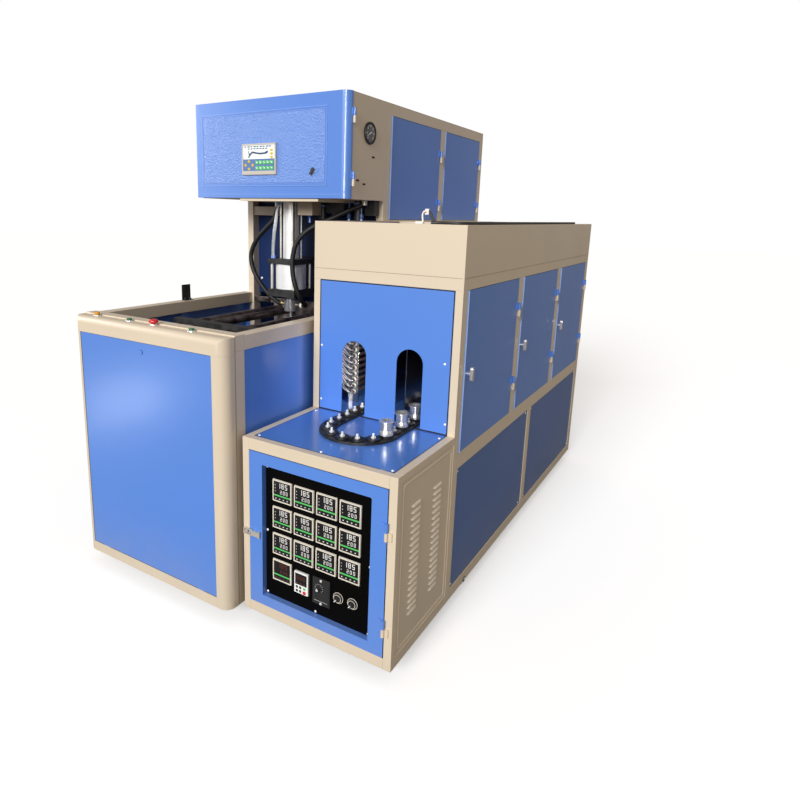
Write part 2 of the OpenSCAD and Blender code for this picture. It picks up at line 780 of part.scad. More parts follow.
module oven_front() {
  color([0.30, 0.50, 0.86])
    place()
      difference() {
        block(post_w, heater_w - post_w, box_d, box_d + sheet, table_z, hood_z);
        for (s = [-1, 1]) {
          x = heater_w / 2 + s * arch_off;
          bar_along_y(x, box_d - 1, box_d + sheet + 1, arch_top - arch_w / 2, arch_w / 2);
          block(x - arch_w / 2, x + arch_w / 2, box_d - 1, box_d + sheet + 1, table_z - 1,
            arch_top - arch_w / 2);
        }
      }
}

module heater_panels() {
  w = heater_w;
  color([0.30, 0.50, 0.86])
    place() {
      for (y = [[door_y1, low_mid - 30], [low_mid + 30, heater_d - rear_post]]) {
        block(w - 4 - sheet, w - 4, y[0], y[1], low_z, low_top);
        block(4, 4 + sheet, y[0], y[1], low_z, low_top);
      }
      for (k = [0:2])
        block(4, 4 + sheet, door_y1 + k * door_step, door_y1 + k * door_step + door_w, door_z, hood_z);
      block(4, 4 + sheet, post_w, box_d, base_z + rail_h, table_z - 30);
      block(post_w, w - post_w, heater_d - 8, heater_d - 5, low_z, low_top);
      block(post_w, w - post_w, heater_d - 8, heater_d - 5, door_z, hood_z - 40);
      // Deck inside the hood
      block(post_w, w - post_w, box_d + sheet, heater_d - 40, hood_z, hood_z + deck_t);
    }
}

module table_top() {
  color([0.30, 0.50, 0.86])
    place()
      block(post_w, heater_w - post_w, post_w, heater_d - 40, table_z - 4, table_z);
}

module louvre_panel() {
  w = heater_w;
  color([0.88, 0.82, 0.69])
    place() {
      difference() {
        block(w - 7, w - 3, post_w, box_d, base_z + rail_h, table_z - 30);
        for (k = [0:17], y = [160, 346])
          block(w - 8, w - 2, y - 40, y + 40, 223 + k * 25.8, 229 + k * 25.8);
      }
      for (k = [0:17], y = [160, 346])
        block(w - 4, w + 2, y - 40, y + 40, 229 + k * 25.8, 233 + k * 25.8);
    }
}

module chain_track() {
  x = heater_w / 2;
  a = arch_off;
  color([0.07, 0.07, 0.07])
    place() {
      difference() {
        bar_along_z(x, chain_y, table_z, table_z + 10, a + 36);
        bar_along_z(x, chain_y, table_z - 1, table_z + 11, a - 34);
        block(0, heater_w, chain_y, box_d + 200, table_z - 1, table_z + 11);
      }
      for (s = [-1, 1])
        beam_y(x + s * a - 35, x + s * a + 35, chain_y, heater_d - 180, table_z, table_z + 10);
      for (p = disc_points)
        bar_along_z(p[0], p[1], table_z + 10 + weld, table_z + 17, disc_r);
    }
}

// Chain positions, a pitch apart round the front turn and down both arms
turn_step = chain_pitch / arch_off * 180 / PI;
turn_n = floor((180 - chain_start) / turn_step);
turn_end = 180 - chain_start - turn_n * turn_step;
leg_right = chain_y + chain_pitch - chain_start * PI / 180 * arch_off;
leg_left = chain_y + chain_pitch - turn_end * PI / 180 * arch_off;
turn_pts = [for (k = [0:turn_n]) let(a = chain_start + k * turn_step)
  [chain_x + arch_off * cos(a), chain_y - arch_off * sin(a)]];
left_pts = [for (k = [0:8]) [chain_x - arch_off, leg_left + k * chain_pitch]];
right_pts = [for (k = [0:8]) [chain_x + arch_off, leg_right + k * chain_pitch]];
disc_points = concat(turn_pts, left_pts, right_pts);
cup_points = [right_pts[3], right_pts[1], turn_pts[0]];
stud_points = concat([for (k = [1:turn_n]) turn_pts[k]], left_pts,
  [for (k = [0, 2, 4, 6, 8]) right_pts[k]]);

module chain_studs() {
  color([0.75, 0.75, 0.76])
    place() {
      for (p = stud_points) {
        bar_along_z(p[0], p[1], table_z + 17, table_z + 24, 10);
        bar_along_z(p[0], p[1], table_z + 23, table_z + 36, 5);
      }
    }
}

module preform_cup(p) {
  z = table_z + 17.3;
  color([0.78, 0.78, 0.79])
    place()
      difference() {
        union() {
          bar_along_z(p[0], p[1], z, z + 10, 20);
          bar_along_z(p[0], p[1], z + 9, z + cup_h, cup_r);
        }
        bar_along_z(p[0], p[1], z + 22, z + cup_h + 1, cup_r - 7);
      }
}

module preform_cup_1() {
  preform_cup(cup_points[0]);
}

module preform_cup_2() {
  preform_cup(cup_points[1]);
}

module preform_cup_3() {
  preform_cup(cup_points[2]);
}

module lamp_bank() {
  color([0.93, 0.92, 0.88])
    place() {
      for (k = [0:8], x = [120, heater_w - 120]) {
        z = lamp_z + k * lamp_step;
        bar_along_y(x, lamp_y0, lamp_mid - 20, z, lamp_r);
        bar_along_y(x, lamp_mid + 20, lamp_y1, z, lamp_r);
        bar_along_y(x, lamp_y0 - 34, lamp_y0 - 8, z, lamp_r * 1.5);
      }
    }
}

module reflectors() {
  w = heater_w;
  zt = lamp_z + 8 * lamp_step + 30;
  color([0.55, 0.56, 0.58])
    place() {
      for (x = [88, w - 96])
        block(x, x + 8, lamp_y0 - 24, lamp_y1 + 20, table_z, zt);
      for (x = [chain_x - screen_off, chain_x + screen_off - 4])
        block(x, x + 4, lamp_y0 - 64, lamp_y1 + 20, table_z, zt);
      // Lamp brackets between them
      for (x = [96, w - 136], y = [[lamp_y0 - 8, lamp_y0], [lamp_mid - 20, lamp_mid + 20], [lamp_y1, lamp_y1 + 8]])
        beam_x(x, x + 40, y[0], y[1], table_z, zt);
    }
}

module control_door() {
  g = door_gap;
  color([0.30, 0.50, 0.86])
    place() {
      difference() {
        block(post_w + g, door_x1, -1, 27, base_z + rail_h + g, table_z - 48 - g);
        block(rec_x, rec_x + rec_w, -2, rec_d, rec_z, rec_z + rec_h);
      }
      for (z = [rec_z + 50, rec_z + rec_h - 142])
        hinge_up(door_x1 + 2, -9, z)
          block(door_x1 - 20, door_x1 + 1, -6, -0.5, z + 33, z + 66);
    }
}

module control_panel() {
  color([0.06, 0.06, 0.06])
    place()
      block(rec_x + 2, rec_x + rec_w - 2, rec_d - 3, rec_d, rec_z + 2, rec_z + rec_h - 2);
}

module controllers() {
  y = rec_d - 3;
  x0 = rec_x + 41;
  z0 = rec_z + rec_h - 52;
  color([0.45, 0.47, 0.48])
    place() {
      for (i = [0:3], j = [0:2])
        block(x0 + i * ctrl_px, x0 + i * ctrl_px + ctrl_w, y - 8, y, z0 - j * ctrl_pz - ctrl_w + 2,
          z0 - j * ctrl_pz);
      block(x0, x0 + ctrl_w, y - 8, y, z0 - 3 * ctrl_pz - ctrl_w + 2, z0 - 3 * ctrl_pz);
      // Drive keypad and speed unit
      block(252, 320, y - 14, y, 224, 318);
      block(339, 421, y - 10, y, 209, 323);
      // Bases of the two rotary switches
      bar_along_y(456, y - 4, y, 268, 15);
      bar_along_y(520, y - 4, y, 268, 15);
    }
}

module speed_knob() {
  y = rec_d - 13.2;
  color([0.05, 0.05, 0.05])
    place()
      bar_along_y(371, y - 14, y, 280, knob_r);
}

module rotary(x) {
  y = rec_d - 7.2;
  color([0.05, 0.05, 0.05])
    place() {
      bar_along_y(x, y - 4, y, 268, 12);
      block(x - 3.5, x + 3.5, y - 13, y - 3, 268 - 11, 268 + 11);
    }
}

module rotary_switch_left() {
  rotary(456);
}

module rotary_switch_right() {
  rotary(520);
}

module door_latch() {
  color([0.62, 0.61, 0.58])
    place() {
      // Lever with its pull ring on the control door
      block(48, 86, -12, -2, 414, 434);
      bar_along_z(86, -7, 410, 438, 5.8);
      difference() {
        block(6, 52, -9, -5, 410, 438);
        block(11, 47, -10, -4, 415, 433);
      }
    }
}

module oven_door(k) {
  g = door_gap;
  y0 = door_y1 + k * door_step;
  y1 = y0 + door_w;
  w = heater_w;
  color([0.30, 0.50, 0.86])
    place() {
      edged_door(w, y0 + g, y1 - g, door_z + g, hood_z - g);
      for (z = [door_z + 123, hood_z - 185])
        hinge_up(w + 8, y1 + 6, z)
          difference() {
            block(w, w + 5, y1 - 20, y1 + 4, z + 33, z + 66);
            block(w - 1, w + 0.3, y1 - g, y1 + 5, z + 32, z + 67);
          }
    }
}

module oven_door_1() {
  oven_door(0);
}

module oven_door_2() {
  oven_door(1);
}

module oven_door_3() {
  oven_door(2);
}

module oven_handle(k) {
  y = door_y1 + k * door_step + 40;
  color([0.78, 0.78, 0.78])
    place() {
      bar_along_x(heater_w + 0.3, heater_w + 15, y, 1074, 9);
      oval_x(heater_w + 14, heater_w + handle_out, y, 1074, 20, 61);
    }
}

module oven_handle_1() {
  oven_handle(0);
}

module oven_handle_2() {
  oven_handle(1);
}

module oven_handle_3() {
  oven_handle(2);
}

module hinge_bases() {
  w = heater_w;
  color([0.88, 0.83, 0.70])
    place() {
      for (z = [rec_z + 50, rec_z + rec_h - 142]) {
        hinge_low(door_x1 + 2, -9, z);
        block(door_x1 + 3, door_x1 + 22, -6, 0, z, z + 32);
      }
      for (k = [0:2], z = [door_z + 123, hood_z - 185]) {
        y1 = door_y1 + k * door_step + door_w;
        hinge_low(w + 8, y1 + 6, z);
        block(w, w + 5, y1 + 3, y1 + 26, z, z + 32);
      }
      for (z = [head_z + 58, top_z - 139]) {
        hinge_low(head_x1 + 10.5, head_y + head_door_t + 1, z);
        block(head_x1, head_x1 + 5.5, head_y + head_door_t + 2, head_y + head_door_t + 22, z, z + 32);
      }
      for (y1 = [strip_y0, cab_rear], z = [hood_top + 60, top_z - 240]) {
        hinge_low(cab_x1 + 8, y1 + 2, z);
        block(cab_x1, cab_x1 + 5, y1 + 2, y1 + 22, z, z + 32);
      }
    }
}

module fork(x, y, s) {
  block(x - 20, x + 20, y - 18, y + 18, 51.5, 55);
  for (d = [-1, 1])
    block(x + d * (wheel_w / 2 + 2.5) - 1.5, x + d * (wheel_w / 2 + 2.5) + 1.5,
      y + s - 12, y + s + 12, 14, 51.5);
  for (d = [-1, 1])
    block(x + d * (wheel_w / 2 + 2.5) - 1.5, x + d * (wheel_w / 2 + 2.5) + 1.5,
      y - 12, y + s + 1, 36, 51.5);
  bar_along_x(x - wheel_w / 2 - 6, x + wheel_w / 2 + 6, y + s, wheel_r, axle_r);
}

caster_x = [60, 640];
front_y = 300;
back_y = heater_d - 300;

module steel_fittings() {
  color([0.60, 0.60, 0.60])
    place() {
      // Top plates and races of the casters
      for (x = caster_x) {
        block(x - 27, x + 27, front_y - 27, front_y + 27, 62, base_z);
        bar_along_z(x, front_y, 55.3, 62, 17);
        block(x - 27, x + 27, back_y - 27, back_y + 27, 55, base_z);
        fork(x, back_y, 0);
      }
      // Bolts under the heater side rails
      for (x = [17, heater_w - 17], y = [door_y1 + 170, heater_d - 795])
        bar_along_z(x, y, 46, base_z, 8);
      // Levelling feet of the blower
      for (x = [tub_x0 + 110, tub_x1 - 110], y = [230, blow_back - 28]) {
        bar_along_z(x, y, 0, 14, 38);
        bar_along_z(x, y, 14, base_z, 11);
      }
      // Hook that the latch ring pulls on
      block(14, 30, -10, -1, 419, 429);
      block(14, 20, -1, 0, 419, 429);
    }
}

module caster_fork_left() {
  color([0.66, 0.66, 0.64])
    place()
      fork(caster_x[0], front_y, trail);
}

module caster_fork_right() {
  color([0.66, 0.66, 0.64])
    place()
      fork(caster_x[1], front_y, trail);
}

module wheel(x, y) {
  color([0.12, 0.12, 0.12])
    place()
      difference() {
        bar_along_x(x - wheel_w / 2, x + wheel_w / 2, y, wheel_r, wheel_r);
        bar_along_x(x - wheel_w, x + wheel_w, y, wheel_r, axle_r + run_fit);
      }
}

module caster_wheel_1() {
  wheel(caster_x[0], front_y + trail);
}

module caster_wheel_2() {
  wheel(caster_x[1], front_y + trail);
}

module caster_wheel_3() {
  wheel(caster_x[0], back_y);
}

module caster_wheel_4() {
  wheel(caster_x[1], back_y);
}

cable_x = heater_w - 13;
cable = [[545, box_d + 11, 6], [580, box_d + 17, 6.05], [640, box_d + 17, 6.05], [cable_x - 12, box_d + 47, 6.05],
  [cable_x, box_d + 137, 6.05], [cable_x - 1, heater_d * 0.41, 6.05], [cable_x + 1, heater_d * 0.56, 6.05],
  [cable_x - 1, heater_d * 0.71, 6.05], [cable_x, heater_d - 445, 6.05]];

module top_cables() {
  color([0.06, 0.06, 0.06])
    place() {
      translate([0, 0, hood_top])
        cord(cable, 6, 10);
      block(478, 512, box_d + 5, box_d + 21, hood_top, hood_top + 58);
    }
}

blower_frame();
tub_cover();
blower_panels();
blower_shell();
front_panel();
head_door();
head_screen();
head_lock();
cab_door_front();
cab_door_rear();
e_stop();
amber_button();
green_button_left();
green_button_right();
clamp_frame();
moving_platen();
air_cylinders();
cylinder_plates();
blow_nozzle();
stretch_rod();
hose_left();
hose_right();
air_tubes();
air_gear();
pressure_gauge();
heater_frame();
heater_hood();
heater_panels();
oven_front();
table_top();
louvre_panel();
chain_track();
chain_studs();
lamp_bank();
reflectors();
preform_cup_1();
preform_cup_2();
preform_cup_3();
control_door();
control_panel();
controllers();
speed_knob();
rotary_switch_left();
rotary_switch_right();
door_latch();
oven_door_1();
oven_door_2();
oven_door_3();
oven_handle_1();
oven_handle_2();
oven_handle_3();
hinge_bases();
steel_fittings();
caster_fork_left();
caster_fork_right();
caster_wheel_1();
caster_wheel_2();
caster_wheel_3();
caster_wheel_4();
top_cables();
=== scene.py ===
"""Looks of the blow moulding set: the blower with its overhanging head, and the preform heater beside it.

Sizes in this file are millimetres measured from the heater's front left corner on the floor, with X to the
right, Y to the back and Z up, as the part's source has them. `place` turns them into metres in the frame.
"""

from __future__ import annotations

import json
import logging
import math
from dataclasses import dataclass
from enum import Enum
from functools import cache
from typing import Callable, Iterable, Sequence

import bmesh
import bpy
from mathutils import Matrix, Vector

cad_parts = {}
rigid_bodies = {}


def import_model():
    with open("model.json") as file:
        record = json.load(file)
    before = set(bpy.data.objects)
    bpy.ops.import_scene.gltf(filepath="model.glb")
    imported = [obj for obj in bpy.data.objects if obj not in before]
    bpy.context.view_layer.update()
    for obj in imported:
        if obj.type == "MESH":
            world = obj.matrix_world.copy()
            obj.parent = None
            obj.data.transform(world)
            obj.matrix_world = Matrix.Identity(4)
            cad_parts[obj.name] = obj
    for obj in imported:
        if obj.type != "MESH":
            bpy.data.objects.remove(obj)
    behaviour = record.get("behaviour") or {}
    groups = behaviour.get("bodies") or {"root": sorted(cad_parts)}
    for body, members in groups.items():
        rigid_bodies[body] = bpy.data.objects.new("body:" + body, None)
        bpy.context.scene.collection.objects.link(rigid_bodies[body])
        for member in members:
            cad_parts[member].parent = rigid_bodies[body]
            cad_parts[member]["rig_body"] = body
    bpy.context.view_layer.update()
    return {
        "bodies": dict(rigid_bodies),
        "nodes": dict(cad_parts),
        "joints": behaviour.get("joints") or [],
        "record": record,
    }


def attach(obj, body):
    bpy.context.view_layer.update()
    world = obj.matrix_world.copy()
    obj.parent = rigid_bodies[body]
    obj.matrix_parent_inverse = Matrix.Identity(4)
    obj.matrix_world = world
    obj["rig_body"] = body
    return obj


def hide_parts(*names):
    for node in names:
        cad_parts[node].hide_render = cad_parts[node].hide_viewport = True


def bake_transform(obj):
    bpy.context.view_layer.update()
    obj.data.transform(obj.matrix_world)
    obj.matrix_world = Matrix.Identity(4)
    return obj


LOG = logging.getLogger("blow_moulding_set")
MIDDLE_X = -114.5
MIDDLE_Y = 1308.5
FACES_FRONT = (math.pi / 2, 0, 0)
FACES_RIGHT = (0, math.pi / 2, 0)
FACES_UP = (0, 0, 0)

Point = tuple[float, float, float]
Flat = tuple[float, float]
Colour = tuple[float, float, float]
Mesh = bpy.types.Mesh
Node = bpy.types.Node
Socket = bpy.types.NodeSocket
Tree = bpy.types.NodeTree


def place(x: float, y: float, z: float) -> Vector:
    """Return a source point in millimetres as a frame point in metres."""
    return Vector(((x - MIDDLE_X) / 1000, (y - MIDDLE_Y) / 1000, z / 1000))


def link(name: str, data: bpy.types.ID) -> bpy.types.Object:
    """Return a new object of the given data, linked to the scene."""
    made = bpy.data.objects.new(name, data)
    bpy.context.scene.collection.objects.link(made)
    return made


class Axis(Enum):
    """A direction that a turned or drawn shape runs along."""

    X = 0
    Y = 1
    Z = 2

    def frame(self) -> Matrix:
        """Return the turn that takes local Z to this axis."""
        return {Axis.X: Matrix.Rotation(math.pi / 2, 4, "Y"), Axis.Y: Matrix.Rotation(-math.pi / 2, 4, "X"),
                Axis.Z: Matrix.Identity(4)}[self]

    def spot(self, at: float, a: float, b: float) -> Point:
        """Return the point at a place along this axis and at two places across it."""
        return {Axis.X: (at, a, b), Axis.Y: (a, at, b), Axis.Z: (a, b, at)}[self]


# ---------------------------------------------------------------- node trees


class Graph:
    """A node tree that is built node by node, each with its inputs set or linked."""

    def __init__(self, tree: Tree) -> None:
        """Take the tree that the nodes go into."""
        self.tree = tree

    @classmethod
    def group(cls, name: str, kind: str, inputs: Sequence[tuple[str, str, object]],
              outputs: Sequence[tuple[str, str]]) -> tuple[Graph, Node, Node]:
        """Return the graph of a new node group, its entry and its exit.

        Args:
            name: The group's name.
            kind: `Shader` or `Geometry`.
            inputs: Label, socket kind and value of each input; None leaves the value alone.
            outputs: Label and socket kind of each output.

        Returns:
            The graph, the entry node and the exit node.
        """
        tree = bpy.data.node_groups.new(name, kind + "NodeTree")
        for label, socket_kind, value in inputs:
            socket = tree.interface.new_socket(name=label, in_out="INPUT", socket_type="NodeSocket" + socket_kind)
            if value is not None:
                socket.default_value = value
        for label, socket_kind in outputs:
            tree.interface.new_socket(name=label, in_out="OUTPUT", socket_type="NodeSocket" + socket_kind)
        return cls(tree), tree.nodes.new("NodeGroupInput"), tree.nodes.new("NodeGroupOutput")

    def set(self, node: Node, inputs: dict[str | int, object]) -> Node:
        """Link each input that is given a socket, set each other one, and return the node."""
        for label, value in inputs.items():
            if isinstance(value, Socket):
                self.tree.links.new(value, node.inputs[label])
            else:
                node.inputs[label].default_value = value
        return node

    def node(self, kind: str, inputs: dict[str | int, object], **settings: object) -> Node:
        """Return a new node with its settings made and its inputs set or linked."""
        node = self.tree.nodes.new(kind)
        for name, value in settings.items():
            setattr(node, name, value)
        return self.set(node, inputs)

    def shader(self, inputs: dict[str | int, object]) -> Node:
        """Set or link inputs of the material's main shader, and return it."""
        return self.set(self.tree.nodes["Principled BSDF"], inputs)

    def effect(self, tree: Tree, **values: float) -> bpy.types.NodeOutputs:
        """Return the outputs of a shared shader group that is placed with its inputs set."""
        return self.node("ShaderNodeGroup", values, node_tree=tree).outputs

    def noise(self, scale: float | Socket, detail: float, stretch: Point = (1, 1, 1)) -> Socket:
        """Return noise on object coordinates, which can be stretched."""
        coords = self.node("ShaderNodeTexCoord", {})
        mapping = self.node("ShaderNodeMapping", {"Scale": stretch, "Vector": coords.outputs["Object"]})
        return self.node("ShaderNodeTexNoise", {"Scale": scale, "Detail": detail,
                                                "Vector": mapping.outputs["Vector"]}).outputs["Fac"]

    def product(self, first: Socket, second: Socket) -> Socket:
        """Return the product of two values."""
        return self.node("ShaderNodeMath", {0: first, 1: second}, operation="MULTIPLY").outputs["Value"]

    def mixed(self, mask: Socket, first: Colour | Socket, second: Colour) -> Socket:
        """Return a colour between two, by a mask."""
        first = first if isinstance(first, Socket) else (*first, 1)
        return self.node("ShaderNodeMix", {"Factor": mask, "A": first, "B": (*second, 1)},
                         data_type="RGBA").outputs["Result"]

    def ranged(self, value: Socket, low: float, high: float) -> Socket:
        """Return a value from 0..1 spread between two limits."""
        return self.node("ShaderNodeMapRange", {"Value": value, "To Min": low, "To Max": high}).outputs["Result"]

    def bump(self, height: Socket, strength: float, depth: float) -> None:
        """Link a height to the main shader's normal through a bump."""
        bump = self.node("ShaderNodeBump", {"Height": height, "Strength": strength, "Distance": depth})
        self.shader({"Normal": bump.outputs["Normal"]})

    def for_camera(self, seen: Socket, other: Socket, output: str) -> None:
        """End a tree with one shader for the camera's own rays and another for all else."""
        rays = self.node("ShaderNodeLightPath", {})
        mix = self.node("ShaderNodeMixShader", {"Fac": rays.outputs["Is Camera Ray"], 1: other, 2: seen})
        self.set(self.tree.nodes[output], {"Surface": mix.outputs["Shader"]})


class ShaderGroups:
    """Effects that several finishes share, each built once as a node group."""

    @staticmethod
    @cache
    def peel() -> Tree:
        """Return the orange peel of powder coat: a height, and a slow change of tone."""
        graph, entry, leave = Graph.group("powder_coat_peel", "Shader", (
            ("Scale", "Float", 260.0), ("Height", "Float", 1.0)), (("Height", "Float"), ("Tone", "Float")))
        fine = graph.noise(entry.outputs["Scale"], 2.0)
        graph.set(leave, {"Height": graph.product(fine, entry.outputs["Height"]), "Tone": graph.noise(2.3, 3.0)})
        return graph.tree

    @staticmethod
    @cache
    def brushed() -> Tree:
        """Return fine lines along Z, as turned or drawn metal has."""
        graph, entry, leave = Graph.group("drawn_lines", "Shader", (("Scale", "Float", 40.0),),
                                          (("Lines", "Float"),))
        graph.set(leave, {"Lines": graph.noise(entry.outputs["Scale"], 3.0, (12, 12, 0.25))})
        return graph.tree

    @staticmethod
    @cache
    def grime() -> Tree:
        """Return a mask of shop dust that is strongest near the floor."""
        graph, entry, leave = Graph.group("floor_dust", "Shader", (
            ("Reach", "Float", 0.35), ("Strength", "Float", 0.5)), (("Mask", "Float"),))
        coords = graph.node("ShaderNodeTexCoord", {})
        split = graph.node("ShaderNodeSeparateXYZ", {"Vector": coords.outputs["Object"]})
        fall = graph.node("ShaderNodeMapRange", {"Value": split.outputs["Z"], "From Max": entry.outputs["Reach"],
                                                 "To Min": 1.0, "To Max": 0.0})
        both = graph.product(fall.outputs["Result"], graph.noise(9, 5.0))
        graph.set(leave, {"Mask": graph.product(both, entry.outputs["Strength"])})
        return graph.tree

    @staticmethod
    @cache
    def blotch() -> Tree:
        """Return uneven patches, as on oiled plate, zinc and rubber."""
        graph, entry, leave = Graph.group("uneven_patches", "Shader", (("Scale", "Float", 14.0),),
                                          (("Mask", "Float"),))
        clouds = graph.noise(entry.outputs["Scale"], 6.0)
        ramp = graph.node("ShaderNodeMapRange", {"Value": clouds, "From Min": 0.35, "From Max": 0.65})
        graph.set(leave, {"Mask": ramp.outputs["Result"]})
        return graph.tree


@dataclass(frozen=True)
class Finish:
    """What every finish has: a name, a colour and the record's slot it stands for."""

    name: str
    colour: Colour
    slot: str
    roughness: float = 0.4

    def tinted(self, share: float) -> Colour:
        """Return the colour times a share."""
        return tuple(c * share for c in self.colour)

    def build(self) -> bpy.types.Material:
        """Return a new material with this finish's look."""
        material = bpy.data.materials.new(self.name)
        material.use_nodes = True
        material.diffuse_color = (*self.colour, 1)
        graph = Graph(material.node_tree)
        graph.shader({"Base Color": (*self.colour, 1), "Roughness": self.roughness})
        self.dress(graph)
        return material

    def dress(self, graph: Graph) -> None:
        """Add to the plain shader what this kind of finish has."""


@dataclass(frozen=True)
class PowderCoat(Finish):
    """Satin powder coat with orange peel, a slow change of tone and dust near the floor."""

    peel_scale: float = 230.0
    peel: float = 0.10
    coat: float = 0.25
    coat_roughness: float = 0.22
    depth: float = 0.0006
    dust: Colour = (0.42, 0.38, 0.33)

    def dress(self, graph: Graph) -> None:
        """Add peel, tone, dust and a clear coat."""
        peel = graph.effect(ShaderGroups.peel(), Scale=self.peel_scale)
        dust = graph.effect(ShaderGroups.grime(), Reach=0.4, Strength=0.35)
        tone = graph.mixed(peel["Tone"], self.colour, self.tinted(0.9))
        graph.shader({"Base Color": graph.mixed(dust["Mask"], tone, self.dust),
                      "Roughness": graph.ranged(peel["Tone"], self.roughness - 0.05, self.roughness + 0.07),
                      "Coat Weight": self.coat, "Coat Roughness": self.coat_roughness})
        graph.bump(peel["Height"], self.peel, self.depth)


@dataclass(frozen=True)
class BareMetal(Finish):
    """Turned, ground or plated metal with drawn lines and patches."""

    lines: float = 0.06
    patchy: float = 0.1
    metal: float = 1.0

    def dress(self, graph: Graph) -> None:
        """Add lines and patches."""
        lines = graph.effect(ShaderGroups.brushed(), Scale=55.0)["Lines"]
        patches = graph.effect(ShaderGroups.blotch(), Scale=18.0)["Mask"]
        graph.shader({"Metallic": self.metal,
                      "Base Color": graph.mixed(patches, self.colour, self.tinted(1 - self.patchy)),
                      "Roughness": graph.ranged(lines, self.roughness - 0.1, self.roughness + 0.12)})
        graph.bump(lines, self.lines, 0.0004)


@dataclass(frozen=True)
class BlackPlate(Finish):
    """Black painted or blackened steel, worn grey in patches."""

    worn: Colour = (0.10, 0.095, 0.09)
    metal: float = 0.3

    def dress(self, graph: Graph) -> None:
        """Add worn patches and a fine peel."""
        patches = graph.effect(ShaderGroups.blotch(), Scale=22.0)["Mask"]
        graph.shader({"Metallic": self.metal, "Base Color": graph.mixed(patches, self.colour, self.worn),
                      "Roughness": graph.ranged(patches, self.roughness, self.roughness + 0.15)})
        graph.bump(graph.effect(ShaderGroups.peel(), Scale=150.0)["Height"], 0.15, 0.0005)


@dataclass(frozen=True)
class Moulded(Finish):
    """Moulded plastic or rubber with a fine grain."""

    grain: float = 420.0
    bump: float = 0.12
    specular: float = 0.5

    def dress(self, graph: Graph) -> None:
        """Add a grain that is a little lighter here and there."""
        peel = graph.effect(ShaderGroups.peel(), Scale=self.grain)
        lighter = tuple(min(1.0, c + 0.001) for c in self.tinted(1.25))
        graph.shader({"Base Color": graph.mixed(peel["Tone"], self.colour, lighter),
                      "Roughness": graph.ranged(peel["Tone"], self.roughness - 0.05, self.roughness + 0.08),
                      "Specular IOR Level": self.specular})
        graph.bump(peel["Height"], self.bump, 0.0003)


@dataclass(frozen=True)
class Lit(Finish):
    """A lit digit, bar or screen field."""

    strength: float = 1.0

    def dress(self, graph: Graph) -> None:
        """Add the glow."""
        tone = graph.effect(ShaderGroups.peel(), Scale=90.0)["Tone"]
        glow = graph.mixed(tone, self.colour, self.tinted(0.85))
        graph.shader({"Base Color": glow, "Emission Color": glow, "Emission Strength": self.strength})


@dataclass(frozen=True)
class ClearTube(Finish):
    """Milky clear air tube."""

    milk: Colour = (0.62, 0.66, 0.70)

    def dress(self, graph: Graph) -> None:
        """Let some light through, and add milky patches."""
        patches = graph.effect(ShaderGroups.blotch(), Scale=60.0)["Mask"]
        graph.shader({"Base Color": graph.mixed(patches, self.colour, self.milk), "Transmission Weight": 0.35})


